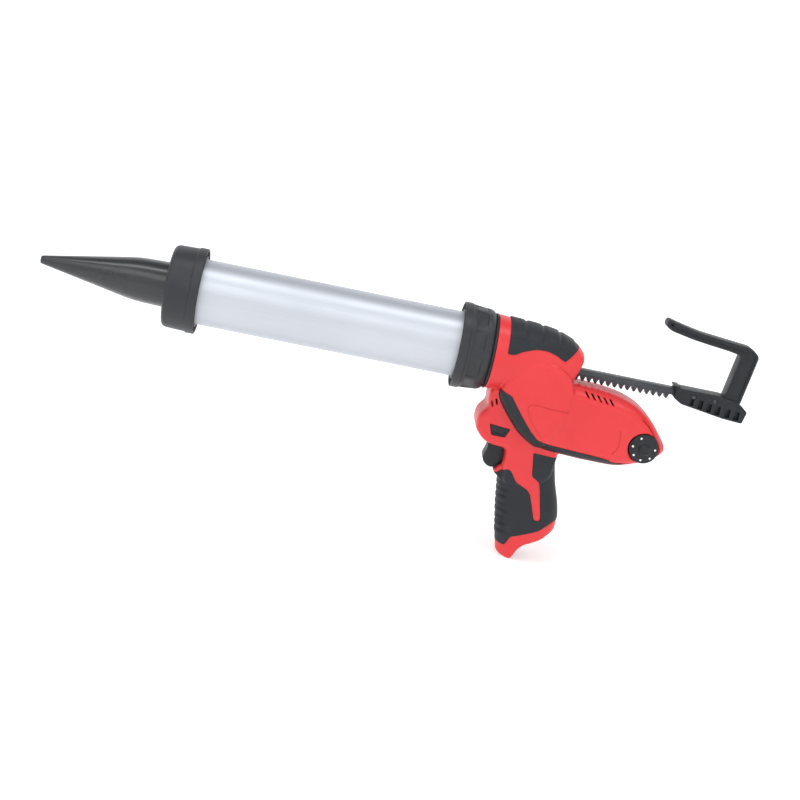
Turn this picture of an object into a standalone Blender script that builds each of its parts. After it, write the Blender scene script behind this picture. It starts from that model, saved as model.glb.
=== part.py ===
"""A cordless caulking gun with an aluminium barrel for sausage packs, as separate named solids.

Metres, +Z up. The gun stands on the foot of its grip, with its barrel level along X: the nozzle points
to -X, the pull handle is at +X, and the left side of the gun faces -Y. Every piece hangs on one empty,
whose origin is where the barrel's axis meets the front flange of the housing. Run it with
blender --background --python part.py, or from Blender's text editor.
"""

import math

import bmesh
import bpy
from mathutils import Matrix, Vector

MM = 0.001

# ---- Where the gun stands -------------------------------------------------------------------------
FLANGE_X = 78.1 * MM  # the housing's front flange, from the middle of the gun's length
AXIS_HEIGHT = 170.0 * MM  # the barrel's axis over the lowest point of the grip
GAP = 0.3 * MM  # between pieces that touch

# ---- Barrel ---------------------------------------------------------------------------------------
TUBE_RADIUS = 27.0 * MM
TUBE_BORE = 25.5 * MM
TUBE_FRONT = -258.6 * MM
TUBE_REAR = -14.5 * MM
THREAD_TRAVEL = 12.0 * MM  # how far a collar's thread carries it
COLLAR_BORE = 27.4 * MM
SPIGOT_RADIUS = 29.4 * MM

# ---- Push rod -------------------------------------------------------------------------------------
RACK_MODULE = 1.75 * MM
RACK_PITCH = math.pi * RACK_MODULE
RACK_TOP = 0.3 * MM
RACK_TIP = -9.3 * MM
RACK_HALF_WIDTH = 4.5 * MM
RACK_FRONT = -151.7 * MM
RACK_REAR = 204.0 * MM
RACK_TEETH_AHEAD = 27  # tooth gaps ahead of the drive pinion, then behind it
RACK_TEETH_BEHIND = 19

# ---- Gears ----------------------------------------------------------------------------------------
PINION_TEETH = 12
SHAFT_X = 43.0 * MM  # both cross shafts stand over each other here
MESH_SLACK = 0.15 * MM  # a little extra centre distance, so that teeth run free
RACK_PITCH_LINE = RACK_TIP + RACK_MODULE
DRIVE_Z = RACK_PITCH_LINE - PINION_TEETH * RACK_MODULE / 2 - MESH_SLACK
WHEEL_MODULE = 1.25 * MM
WHEEL_TEETH = 34
CROSS_TEETH = 10
CROSS_Z = DRIVE_Z - (WHEEL_TEETH + CROSS_TEETH) * WHEEL_MODULE / 2 - MESH_SLACK
BEVEL_MODULE = 1.5 * MM
BEVEL_PINION_TEETH = 12
BEVEL_WHEEL_TEETH = 20
BEVEL_FACE = 6.0 * MM
SUN_TEETH = 12
PLANET_TEETH = 12
RING_TEETH = SUN_TEETH + 2 * PLANET_TEETH
PLANET_MODULE = 1.0 * MM
PLANETS = 3
PLANET_ORBIT = (SUN_TEETH + PLANET_TEETH) * PLANET_MODULE / 2
MOTOR_Z = CROSS_Z
PRESSURE_SLOPE = math.tan(math.radians(20))

# ---- Housing --------------------------------------------------------------------------------------
WALL = 3.4 * MM
PAD = 1.6 * MM  # rubber over the shell
PARTING = 0.15 * MM  # each half stops this far short of the middle
DOME_CENTRE = (42.8 * MM, -25.5 * MM)
DOME_RADIUS = 31.0 * MM
DOME_HALF_WIDTH = 28.6 * MM
DIAL_CENTRE = (138.1 * MM, -50.7 * MM)

# ---- Segments round a circle ----------------------------------------------------------------------
ROUND = 24
MEDIUM = 16
SMALL = 8

COLOURS = {  # base colour, roughness, metallic
    "red_plastic": ((0.80, 0.045, 0.04), 0.42, 0.0),
    "black_plastic": ((0.030, 0.034, 0.040), 0.5, 0.0),
    "grey_rubber": ((0.045, 0.050, 0.056), 0.75, 0.0),
    "aluminium": ((0.80, 0.82, 0.86), 0.35, 1.0),
    "black_steel": ((0.05, 0.055, 0.06), 0.45, 0.6),
    "bright_steel": ((0.55, 0.55, 0.57), 0.35, 1.0),
    "brass": ((0.72, 0.52, 0.22), 0.35, 1.0),
    "circuit_green": ((0.02, 0.20, 0.09), 0.5, 0.0),
}


# ---- Small tools ----------------------------------------------------------------------------------
def mm(points):
    """A list of points given in millimetres, in metres."""
    return [tuple(value * MM for value in point) for point in points]


def clear_scene():
    for obj in list(bpy.data.objects):
        bpy.data.objects.remove(obj)


def material(name):
    found = bpy.data.materials.get(name)
    if found:
        return found
    colour, roughness, metallic = COLOURS[name]
    made = bpy.data.materials.new(name)
    made.use_nodes = True
    shader = made.node_tree.nodes["Principled BSDF"]
    shader.inputs["Base Color"].default_value = (*colour, 1.0)
    shader.inputs["Roughness"].default_value = roughness
    shader.inputs["Metallic"].default_value = metallic
    return made


def new_object(name, mesh):
    obj = bpy.data.objects.new(name, mesh)
    gun.objects.link(obj)
    return obj


def finish(obj, finish_name, parent, location=(0, 0, 0), smooth=35):
    """Gives a piece its name's material and hangs it on its empty; smooth is the sharpest smooth angle."""
    obj.data.materials.clear()
    obj.data.materials.append(material(finish_name))
    obj.parent = parent
    obj.location = location
    obj.data.shade_smooth()
    obj.data.set_sharp_from_angle(angle=math.radians(smooth))
    return obj


def axis_empty(name, location, rotation=(0, 0, 0), parent=None):
    empty = bpy.data.objects.new(name, None)
    gun.objects.link(empty)
    empty.parent = parent
    empty.location = location
    empty.rotation_euler = rotation
    return empty


def from_bmesh(name, bm):
    bmesh.ops.recalc_face_normals(bm, faces=bm.faces)
    if bm.calc_volume(signed=True) < 0:
        bmesh.ops.reverse_faces(bm, faces=bm.faces)
    mesh = bpy.data.meshes.new(name)
    bm.to_mesh(mesh)
    bm.free()
    return new_object(name, mesh)


def settle(obj):
    """Replaces a piece's mesh with the one its modifiers make."""
    bpy.context.view_layer.update()
    graph = bpy.context.evaluated_depsgraph_get()
    mesh = bpy.data.meshes.new_from_object(obj.evaluated_get(graph))
    obj.modifiers.clear()
    obj.data = mesh
    return obj


def boolean(obj, other, operation, solver="EXACT"):
    """Cuts, joins or keeps the common part of obj and other, and removes other."""
    modifier = obj.modifiers.new(operation.title(), "BOOLEAN")
    modifier.operation = operation
    modifier.object = other
    modifier.solver = solver
    settle(obj)
    bpy.data.objects.remove(other)
    return obj


def copy_of(obj, name):
    return new_object(name, obj.data.copy())


def mirrored(obj, name):
    """A copy on the other side of the parting plane."""
    twin = copy_of(obj, name)
    bm = bmesh.new()
    bm.from_mesh(twin.data)
    bmesh.ops.scale(bm, vec=(1, -1, 1), verts=bm.verts)
    bmesh.ops.reverse_faces(bm, faces=bm.faces)
    bm.to_mesh(twin.data)
    bm.free()
    return twin


# ---- Shape makers: each gives an object whose mesh lies where it belongs in its empty's frame ---------
def turned(name, profile, segments=ROUND, axis="X", centre=(0, 0)):
    """A turned piece. profile is (along the axis, radius) points; it closes on itself, or on the axis
    where it starts and ends at radius 0. centre is the axis's place across it: (y, z), or (x, z) for Y."""
    on_axis = profile[0][1] == 0
    area = sum(a[0] * b[1] - b[0] * a[1] for a, b in zip(profile, profile[1:] + profile[:1]))
    if area > 0:
        profile = profile[::-1]
    mesh = bpy.data.meshes.new(name)
    edges = [(i, i + 1) for i in range(len(profile) - 1)]
    if not on_axis:
        edges.append((len(profile) - 1, 0))
    mesh.from_pydata([(radius, 0, along) for along, radius in profile], edges, [])
    obj = new_object(name, mesh)
    screw = obj.modifiers.new("Turn", "SCREW")
    screw.axis = "Z"
    screw.steps = screw.render_steps = segments
    screw.use_merge_vertices = True
    screw.merge_threshold = 0.00001
    settle(obj)
    bm = bmesh.new()
    bm.from_mesh(obj.data)
    for vert in bm.verts:
        x, y, z = vert.co
        if axis == "X":
            vert.co = Vector((z, y + centre[0], -x + centre[1]))
        elif axis == "Y":
            vert.co = Vector((x + centre[0], z, -y + centre[1]))
        else:
            vert.co = Vector((x + centre[0], y + centre[1], z))
    bmesh.ops.recalc_face_normals(bm, faces=bm.faces)
    bm.to_mesh(obj.data)
    bm.free()
    return obj


def rod(name, start, end, radius, segments=SMALL, axis="X", centre=(0, 0)):
    return turned(name, [(start, 0), (start, radius), (end, radius), (end, 0)], segments, axis, centre)


def ring(name, start, end, inner, outer, segments=MEDIUM, axis="X", centre=(0, 0)):
    profile = [(start, inner), (start, outer), (end, outer), (end, inner)]
    return turned(name, profile, segments, axis, centre)


def plate(name, outlines, low, high, axis="Y"):
    """A flat piece between two planes: the first outline is its edge, and the others are holes in it.
    Outlines are (x, z) points for an axis of Y, and (y, z) points for X."""
    curve = bpy.data.curves.new(name, "CURVE")
    curve.dimensions = "2D"
    curve.fill_mode = "BOTH"
    curve.extrude = (high - low) / 2
    lean = Matrix.Rotation(0.35, 2)  # filled at a lean, so that no long row of corners lies level
    for outline in outlines:
        spline = curve.splines.new("POLY")
        spline.points.add(len(outline) - 1)
        for point, corner in zip(spline.points, outline):
            point.co = (*(lean @ Vector(corner)), 0, 1)
        spline.use_cyclic_u = True
    flat = new_object(name, curve)
    bpy.context.view_layer.update()
    graph = bpy.context.evaluated_depsgraph_get()
    mesh = bpy.data.meshes.new_from_object(flat.evaluated_get(graph))
    bpy.data.objects.remove(flat)
    bm = bmesh.new()
    bm.from_mesh(mesh)
    bmesh.ops.remove_doubles(bm, verts=bm.verts, dist=0.000001)
    middle = (low + high) / 2
    for vert in bm.verts:
        a, b = lean.inverted() @ vert.co.xy
        c = middle + vert.co.z
        vert.co = Vector((a, c, b)) if axis == "Y" else Vector((c, a, b))
    return from_bmesh(name, bm)


def box(name, low, high):
    bm = bmesh.new()
    bmesh.ops.create_cube(bm, size=1)
    for vert in bm.verts:
        vert.co = Vector((l + (h - l) * (c + 0.5) for l, h, c in zip(low, high, vert.co)))
    return from_bmesh(name, bm)


def loft(name, sections):
    """A closed body through sections of equally many points, with a flat cap on each end."""
    bm = bmesh.new()
    rings = [[bm.verts.new(point) for point in section] for section in sections]
    for first, second in zip(rings, rings[1:]):
        for i in range(len(first)):
            j = (i + 1) % len(first)
            bm.faces.new((first[i], first[j], second[j], second[i]))
    bm.faces.new(rings[0])
    bm.faces.new(rings[-1])
    return from_bmesh(name, bm)


def inset(outline, amount):
    """The outline moved inwards by amount, or outwards where amount is negative, corner by corner."""
    area = sum(a[0] * b[1] - b[0] * a[1] for a, b in zip(outline, outline[1:] + outline[:1]))
    turn = 1 if area > 0 else -1
    moved = []
    for i, point in enumerate(outline):
        before, here, after = Vector(outline[i - 1]), Vector(point), Vector(outline[(i + 1) % len(outline)])
        in_a = (here - before).normalized().orthogonal() * turn
        in_b = (after - here).normalized().orthogonal() * turn
        middle = (in_a + in_b).normalized()
        moved.append(tuple(here + middle * (amount / max(0.45, middle.dot(in_a)))))
    return moved


def pillow(name, outline, levels, extra=0.0):
    """A body with this side outline in X and Z, whose edge pulls in towards both sides.
    levels are (half width, inset) pairs from the middle out, and extra is taken off all round."""
    steps = [(y - extra, amount + extra) for y, amount in levels]
    both = [(-y, amount) for y, amount in reversed(steps)] + steps
    return loft(name, [[(x, y, z) for x, z in inset(outline, amount)] for y, amount in both])


def arc(centre, radius, start, end, steps):
    """Points on a circular arc, angles in degrees from the first axis towards the second."""
    turns = [math.radians(start + (end - start) * i / steps) for i in range(steps + 1)]
    return [(centre[0] + radius * math.cos(t), centre[1] + radius * math.sin(t)) for t in turns]


def circle(centre, radius, segments):
    return arc(centre, radius, 0, 360 - 360 / segments, segments - 1)


# ---- Gear shapes ----------------------------------------------------------------------------------
def gear_outline(teeth, module, phase, centre=(0, 0), share=0.44, height=0.85, depth=1.15):
    """A gear's edge: four points a tooth, the first tooth at angle phase in degrees. share is the tooth's
    part of the pitch, and height and depth are its addendum and dedendum in modules."""
    pitch_radius = teeth * module / 2
    half = share * math.pi * module / 2
    tip, root = pitch_radius + height * module, pitch_radius - depth * module
    tip_half = (half - height * module * PRESSURE_SLOPE) / tip
    root_half = (half + depth * module * PRESSURE_SLOPE * 0.75) / root
    outline = []
    for tooth in range(teeth):
        middle = math.radians(phase) + tooth * math.tau / teeth
        corners = ((root, -root_half), (tip, -tip_half), (tip, tip_half), (root, root_half))
        for radius, turn in corners:
            outline.append(
                (centre[0] + radius * math.cos(middle + turn), centre[1] + radius * math.sin(middle + turn))
            )
    return outline


def bevel_gear(name, teeth, mate_teeth, bore, phase, back):
    """A straight bevel gear about +Z with its cone's point at the origin; phase as in gear_outline."""
    pitch_radius = teeth * BEVEL_MODULE / 2
    distance = mate_teeth * BEVEL_MODULE / 2
    slant = math.hypot(pitch_radius, distance)
    sine, cosine = pitch_radius / slant, distance / slant
    half = 0.42 * math.pi * BEVEL_MODULE / 2
    height, depth = 0.7 * BEVEL_MODULE, 1.0 * BEVEL_MODULE
    shrink = 1 - BEVEL_FACE / slant
    bm = bmesh.new()
    outer, inner, bore_in, bore_back = [], [], [], []
    for tooth in range(teeth):
        middle = math.radians(phase) + tooth * math.tau / teeth
        tip_turn = (half - height * PRESSURE_SLOPE) / pitch_radius
        root_turn = (half + depth * PRESSURE_SLOPE * 0.6) / pitch_radius
        for rise, turn in ((-depth, -root_turn), (height, -tip_turn), (height, tip_turn), (-depth, root_turn)):
            angle = middle + turn
            radius, along = pitch_radius + rise * cosine, distance - rise * sine
            spoke = Vector((math.cos(angle), math.sin(angle), 0))
            outer.append(bm.verts.new(spoke * radius + Vector((0, 0, along))))
            inner.append(bm.verts.new(spoke * radius * shrink + Vector((0, 0, along * shrink))))
            bore_in.append(bm.verts.new(spoke * bore + Vector((0, 0, distance * shrink))))
            bore_back.append(bm.verts.new(spoke * bore + Vector((0, 0, distance + back))))
    for first, second in ((outer, inner), (inner, bore_in), (bore_in, bore_back), (bore_back, outer)):
        for i in range(len(first)):
            j = (i + 1) % len(first)
            bm.faces.new((first[i], first[j], second[j], second[i]))
    return from_bmesh(name, bm)


# ---- Barrel: tube, collars and nozzle --------------------------------------------------------------
def build_nozzle(frame):
    outer = mm([(-375, 3.3), (-297, 17.8), (-290, 18.3), (-265.6, 18.8), (-265.6, 25.0), (-262.2, 25.0)])
    inner = mm([(-262.2, 16.0), (-297, 15.2), (-375, 2.4)])
    finish(turned("nozzle", outer + inner, 28), "black_plastic", frame)
    seal = ring("nozzle_seal", -261.9 * MM, -258.9 * MM, 20.0 * MM, 26.6 * MM, ROUND)
    finish(seal, "grey_rubber", frame)


def build_front_collar(frame):
    outer = mm([(-270, 30.8), (-269, 33.0), (-266.5, 34.0), (-250.2, 34.5), (-249.6, 35.3), (-243, 35.3)])
    pocket = mm([(-243, 33.7), (-249, 33.5), (-249, 29.3), (-243, 29.3)])
    bore = [(-243 * MM, COLLAR_BORE), (-265.9 * MM, COLLAR_BORE + GAP)]
    mouth = mm([(-266.3, 19.2), (-270, 19.2)])
    finish(turned("front_collar", outer + pocket + bore + mouth), "black_plastic", frame)


def build_rear_collar(frame):
    outer = mm([(-29, 35.5), (-22.6, 35.5), (-22, 34.9), (-7, 33.6), (-2.4, 30.4)])
    socket = [(-2.4 * MM, SPIGOT_RADIUS + GAP), (-18 * MM, SPIGOT_RADIUS + GAP), (-18 * MM, COLLAR_BORE)]
    bore = [(-29 * MM, COLLAR_BORE)]
    pocket = mm([(-29, 29.3), (-23, 29.3), (-23, 33.7), (-29, 33.9)])
    finish(turned("rear_collar", outer + socket + bore + pocket), "black_plastic", frame)


def build_tube(frame):
    finish(ring("barrel_tube", TUBE_FRONT, TUBE_REAR, TUBE_BORE, TUBE_RADIUS, 32), "aluminium", frame)
    snap = ring("tube_snap_ring", -17.6 * MM, -15.6 * MM, TUBE_RADIUS + GAP, SPIGOT_RADIUS - GAP, ROUND)
    finish(snap, "bright_steel", frame)


def build_adapter(frame):
    """The flanged spigot that the rear collar screws onto, with the rack's front guide in its wall."""
    profile = mm([(-14, 25.3), (-14, 29.4), (-1.8, 29.4), (-1.8, 31.4), (-0.3, 31.4), (-0.3, 26.0), (7, 26.0)])
    profile += mm([(7, 23.5), (-1.5, 23.5), (-1.5, 9.0), (-4.5, 9.0), (-4.5, 25.3)])
    shell = turned("barrel_adapter", profile)
    wall = rod("wall", -4.3 * MM, -1.7 * MM, 12 * MM, MEDIUM)
    boolean(shell, wall, "UNION")
    low = (-9 * MM, -RACK_HALF_WIDTH - GAP, RACK_TIP - GAP)
    high = (9 * MM, RACK_HALF_WIDTH + GAP, RACK_TOP + GAP)
    finish(boolean(shell, box("guide", low, high), "DIFFERENCE"), "black_plastic", frame)


# ---- Push rod: rack, piston and pull handle ---------------------------------------------------------
def build_piston(frame):
    profile = mm([(-181, 22.6), (-178.5, 25.1), (-159, 25.1), (-159, 22.0), (-170, 19.0), (-170, 8.0)])
    profile += mm([(-159, 8.0), (-159, 3.8), (-177, 3.8), (-177, 9.0), (-181, 9.0)])
    finish(turned("piston", profile), "black_plastic", frame)
    washer = ring("piston_washer", -178.3 * MM, -177.2 * MM, 3.9 * MM, 8.6 * MM)
    finish(washer, "bright_steel", frame)
    screw = mm([(-181.5, 0), (-181.5, 5.0), (-178.6, 5.6), (-178.6, 3.4), (-154, 3.4), (-154, 0)])
    finish(turned("piston_screw", screw, SMALL), "bright_steel", frame)
    carrier = ring("piston_carrier", -158.7 * MM, -146 * MM, 3.8 * MM, 12.5 * MM)
    low = (-152 * MM, -RACK_HALF_WIDTH - GAP, RACK_TIP - GAP)
    high = (-140 * MM, RACK_HALF_WIDTH + GAP, RACK_TOP + GAP)
    finish(boolean(carrier, box("socket", low, high), "DIFFERENCE"), "black_steel", frame)


def build_rack(frame):
    """The toothed bar. A gap between two teeth stands right over the drive pinion."""
    root = RACK_PITCH_LINE + 1.25 * RACK_MODULE
    half_tip = (RACK_PITCH * 0.46 - 2 * RACK_MODULE * PRESSURE_SLOPE) / 2
    half_root = (RACK_PITCH * 0.46 + 2 * 1.25 * RACK_MODULE * PRESSURE_SLOPE) / 2
    outline = [(RACK_FRONT, RACK_TOP), (RACK_FRONT, root)]
    for tooth in range(-RACK_TEETH_AHEAD, RACK_TEETH_BEHIND + 1):
        x = SHAFT_X + (tooth + 0.5) * RACK_PITCH
        outline += [(x - half_root, root), (x - half_tip, RACK_TIP), (x + half_tip, RACK_TIP), (x + half_root, root)]
    outline += [(RACK_REAR, root), (RACK_REAR, RACK_TOP)]
    rack = plate("rack", [outline], -RACK_HALF_WIDTH, RACK_HALF_WIDTH)
    for x in HANDLE_PINS:
        boolean(rack, handle_pin_hole(x), "DIFFERENCE")
    finish(rack, "black_steel", frame)


HANDLE_BASE = mm(
    [(158, 2), (196, 2), (211.4, -1.5), (218.8, -7), (216.5, -17.2), (200, -16.2), (163, -10.9), (155.5, -6.7), (156, 2)]
)
HANDLE_HOOK = mm(
    [(197, -1), (202.2, 38.5), (190.4, 40.4), (172.7, 42.4), (159.4, 44.5), (140.4, 48.9), (136.0, 51.2)]
    + [(136.6, 56.4), (147.7, 53.6), (165.7, 50.2), (187.5, 48.1), (209.5, 46.2), (217.1, 40.5), (211.4, -3)]
)


HANDLE_PINS = (172 * MM, 190 * MM)
HANDLE_PIN_Z = -3.0 * MM


def handle_pin_hole(x):
    return rod("hole", -12 * MM, 12 * MM, 1.9 * MM, SMALL, "Y", (x, HANDLE_PIN_Z))


def build_pull_handle(frame):
    """The hook at the rod's rear end: a base that holds the rack, and an arm with a bevelled edge."""
    hook = pillow("pull_handle", HANDLE_HOOK, mm([(6.4, 0.0), (8.0, 1.5)]))
    base = pillow("base", HANDLE_BASE, mm([(8.0, 0.0), (9.0, 1.0)]))
    boolean(hook, base, "UNION")
    low = (150 * MM, -RACK_HALF_WIDTH - GAP, RACK_PITCH_LINE - GAP)
    high = (RACK_REAR + GAP, RACK_HALF_WIDTH + GAP, RACK_TOP + GAP)
    boolean(hook, box("channel", low, high), "DIFFERENCE")
    for i, x in enumerate(HANDLE_PINS):
        boolean(hook, handle_pin_hole(x), "DIFFERENCE")
        shank = rod(f"handle_pin_{i + 1}", -8.8 * MM, 8.8 * MM, 1.6 * MM, SMALL, "Y", (x, HANDLE_PIN_Z))
        finish(shank, "bright_steel", frame)
    finish(hook, "black_plastic", frame)


# ---- Drive: motor, planetary stage, bevel stage, wheel and pinion --------------------------------------
def shaft_along_y(name, radius, half_length, end_radius, centre):
    """A shaft with thinner ends for its bushes."""
    shoulder = 13.9 * MM
    profile = [(-half_length, 0), (-half_length, end_radius), (-shoulder, end_radius), (-shoulder, radius)]
    profile += [(shoulder, radius), (shoulder, end_radius), (half_length, end_radius), (half_length, 0)]
    return turned(name, profile, SMALL, "Y", centre)


def build_drive_shafts(drive_frame, cross_frame):
    """Pieces here lie round their own shaft's empty, so a centre of (0, 0) is on the shaft."""
    drive = shaft_along_y("drive_pinion", 4.5 * MM, 16.8 * MM, 3.0 * MM, (0, 0))
    teeth = plate("teeth", [gear_outline(PINION_TEETH, RACK_MODULE, 90)], -5.4 * MM, 5.4 * MM)
    finish(boolean(drive, teeth, "UNION"), "bright_steel", drive_frame)
    wheel_phase = 270 + 180 / WHEEL_TEETH
    edge = gear_outline(WHEEL_TEETH, WHEEL_MODULE, wheel_phase)
    wheel = plate("drive_wheel", [edge, circle((0, 0), 4.9 * MM, MEDIUM)], 7.2 * MM, 13.4 * MM)
    finish(wheel, "bright_steel", drive_frame)
    cross = shaft_along_y("cross_shaft", 3.8 * MM, 16.8 * MM, 3.0 * MM, (0, 0))
    teeth = plate("teeth", [gear_outline(CROSS_TEETH, WHEEL_MODULE, 90)], 6.8 * MM, 13.8 * MM)
    finish(boolean(cross, teeth, "UNION"), "bright_steel", cross_frame)


def build_bevel_wheel(cross_frame):
    """It rides on the cross shaft, with its cone's point where the motor's axis crosses the shaft."""
    holder = axis_empty("bevel_wheel_axis", (0, 0, 0), (math.radians(90), 0, 0), cross_frame)
    phase = 180 / BEVEL_WHEEL_TEETH
    wheel = bevel_gear("bevel_wheel", BEVEL_WHEEL_TEETH, BEVEL_PINION_TEETH, 4.2 * MM, phase, 2.2 * MM)
    finish(wheel, "bright_steel", holder)


def build_gear_plates(frame):
    """The two steel side plates that hold both shafts and the backing roller, and their bushes."""
    top, bottom = (SHAFT_X, 4.5 * MM), (SHAFT_X, CROSS_Z)
    edge = arc(bottom, 9.0 * MM, 180, 360, 8) + arc(top, 7.0 * MM, 0, 180, 8)
    roller_z = RACK_TOP + 6.3 * MM
    for side, low in (("left", -16.4 * MM), ("right", 14.4 * MM)):
        holes = [circle((SHAFT_X, z), 5.0 * MM, SMALL) for z in (DRIVE_Z, CROSS_Z)]
        holes.append(circle((SHAFT_X, roller_z), 2.3 * MM, SMALL))
        made = plate(f"gear_plate_{side}", [edge, *holes], low, low + 2.0 * MM)
        finish(made, "black_steel", frame)
        for shaft, z in (("drive", DRIVE_Z), ("cross", CROSS_Z)):
            start = low - 0.2 * MM
            bush = ring(
                f"{shaft}_bush_{side}", start, start + 2.4 * MM, 3.3 * MM, 4.7 * MM, SMALL, "Y", (SHAFT_X, z)
            )
            finish(bush, "brass", frame)
    pin = rod("roller_pin", -16.6 * MM, 16.6 * MM, 2.0 * MM, SMALL, "Y", (SHAFT_X, roller_z))
    finish(pin, "bright_steel", frame)
    roller_frame = axis_empty("roller_axis", (SHAFT_X, 0, roller_z), parent=frame)
    roller = ring("backing_roller", -5.5 * MM, 5.5 * MM, 2.35 * MM, 6.0 * MM, MEDIUM, "Y")
    finish(roller, "bright_steel", roller_frame)


def build_planetary(motor_frame):
    """The reduction ahead of the motor. All of it is placed from the motor's axis."""
    case = rod("gearbox_case", 66 * MM, 84 * MM, 21.4 * MM, ROUND)
    tooth_space = gear_outline(RING_TEETH, PLANET_MODULE, 180 / RING_TEETH, share=0.56, height=1.15, depth=0.8)
    boolean(case, plate("space", [tooth_space], 69.5 * MM, 92 * MM, "X"), "DIFFERENCE")
    boolean(case, rod("bore", 62 * MM, 72 * MM, 8.3 * MM, MEDIUM), "DIFFERENCE")
    finish(case, "black_steel", motor_frame)
    bearing = ring("output_bearing", 64.6 * MM, 68.8 * MM, 4.3 * MM, 8.0 * MM)
    finish(bearing, "bright_steel", motor_frame)
    profile = mm([(50.5, 0), (50.5, 4.0), (70.0, 4.0), (70.0, 15.0), (72.8, 15.0), (72.8, 0)])
    carrier = turned("planet_carrier", profile, MEDIUM)
    for planet in range(PLANETS):
        turn = planet * math.tau / PLANETS
        centre = (PLANET_ORBIT * math.cos(turn), PLANET_ORBIT * math.sin(turn))
        boolean(carrier, rod("pin", 72 * MM, 81.6 * MM, 1.7 * MM, 8, "X", centre), "UNION")
        facing_gap = math.degrees(turn) + 180 + 180 / PLANET_TEETH
        edge = gear_outline(PLANET_TEETH, PLANET_MODULE, facing_gap)
        own_axis = axis_empty(f"planet_axis_{planet + 1}", (0, *centre), parent=motor_frame)
        gear = plate(f"planet_gear_{planet + 1}", [edge, circle((0, 0), 2.05 * MM, 8)], 73.3 * MM, 81.3 * MM, "X")
        finish(gear, "bright_steel", own_axis)
    finish(carrier, "bright_steel", motor_frame)
    holder = axis_empty("bevel_pinion_axis", (SHAFT_X, 0, 0), (0, math.radians(90), 0), motor_frame)
    pinion = bevel_gear("bevel_pinion", BEVEL_PINION_TEETH, BEVEL_WHEEL_TEETH, 4.25 * MM, 270, 2.0 * MM)
    finish(pinion, "bright_steel", holder)


def build_motor(motor_frame):
    profile = mm([(84.6, 3.2), (84.6, 17.5), (126, 17.5), (126, 16.2), (86, 16.2), (86, 3.2)])
    finish(turned("motor_can", profile), "bright_steel", motor_frame)
    cap = mm([(126.3, 17.4), (129.5, 17.4), (129.5, 2.4), (122, 2.4), (122, 6), (126.3, 15.9)])
    finish(turned("motor_end_cap", cap, MEDIUM), "black_plastic", motor_frame)
    spindle = mm([(74, 0), (74, 2.0), (90, 2.0), (90, 14.4), (118, 14.4), (118, 5.4), (121, 5.4), (121, 2.0)])
    spindle += mm([(128, 2.0), (128, 0)])
    rotor = turned("motor_rotor", spindle, MEDIUM)
    sun = plate("sun", [gear_outline(SUN_TEETH, PLANET_MODULE, 0)], 73.5 * MM, 81.0 * MM, "X")
    finish(boolean(rotor, sun, "UNION"), "bright_steel", motor_frame)


# ---- Housing shapes ---------------------------------------------------------------------------------
POD_OUTLINE = mm(
    [(30, -45), (41.8, -64), (50.6, -69.2), (60, -71), (88, -72.4), (115, -72.6), (124, -71.2), (137, -66.8)]
    + [(149, -60.6), (156, -54.5), (158, -48.5), (151.5, -40.2), (143, -29.8), (131.5, -21.2), (120.5, -16.6)]
    + [(111, -14.2), (98, -12.4), (72, -11), (55, -9), (36, -20)]
)
POD_LEVELS = mm([(12, 0.0), (19, 1.6), (24, 5.0), (27, 10.5)])
DOME_OUTLINE = arc(DOME_CENTRE, DOME_RADIUS, 175, -25, 11) + mm(
    [(70, -45), (62, -62), (52, -68), (42.4, -63.5), (33.9, -57.7), (24.8, -48.2), (15.8, -37.4), (11.6, -30)]
)
DOME_LEVELS = mm([(21, 0.0), (25, 0.8), (DOME_HALF_WIDTH / MM, 4.6)])
NECK_OUTLINE = mm(
    [(5, -26), (4.3, -36), (5.4, -43.4), (-0.4, -51), (-1.2, -57), (-0.4, -63.4), (6.4, -71), (12.6, -74.2)]
    + [(27.4, -75.6), (28.6, -80), (28.4, -90), (32, -104), (52, -112), (70, -92), (71, -78), (74, -50), (50, -20)]
)
NECK_LEVELS = mm([(14, 0.0), (18.5, 1.2), (20.5, 3.6)])
GUARD = mm([(27, -91), (24.4, -94.9), (22.4, -97.8), (25, -100), (31, -105), (38, -102), (34, -91)])
GUARD_HALF_WIDTH = 12.5 * MM
GRIP_SECTIONS = (  # height, front, rear, half width
    (-66, 24, 76, 18.5),
    (-76, 26, 72.0, 18.5),
    (-98, 28.2, 76.6, 18.6),
    (-115, 30.6, 82.4, 19.2),
    (-128, 32.6, 85.4, 19.4),
    (-140, 35.0, 85.4, 19.2),
    (-152, 37.2, 82.8, 18.8),
    (-176, 42.0, 76.0, 18.4),
)
GRIP_UNDERSIDE = mm(
    [(20, -180), (20, -164.5), (37.6, -166.4), (45, -168.8), (52.8, -170), (57.4, -161), (61.5, -157.4)]
    + [(74, -151), (82.2, -143.4), (92, -132), (92, -180)]
)
HEAD_SECTIONS = (  # place, half width, top, bottom
    (0.0, 31.0, 31.0, -31.0),
    (6.0, 31.0, 30.6, -31.0),
    (14.0, 30.4, 29.8, -30.8),
    (30.0, 28.6, 28.8, -30.0),
    (48.0, 26.0, 26.6, -27.0),
    (60.0, 22.8, 23.0, -21.0),
    (70.0, 19.0, 18.6, -14.0),
    (75.0, 16.0, 13.8, -10.0),
)
SECTION_POINTS = 16
VENTS = 5
VENT_PITCH = 5.3 * MM


def rounded(half_a, half_b, power):
    """A rounded section about (0, 0): a power of 2 is an ellipse, and more makes it squarer."""
    section = []
    for i in range(SECTION_POINTS):
        c, s = math.cos(i * math.tau / SECTION_POINTS), math.sin(i * math.tau / SECTION_POINTS)
        a = math.copysign(abs(c) ** (2 / power), c) * half_a
        b = math.copysign(abs(s) ** (2 / power), s) * half_b
        section.append((a, b))
    return section


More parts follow.
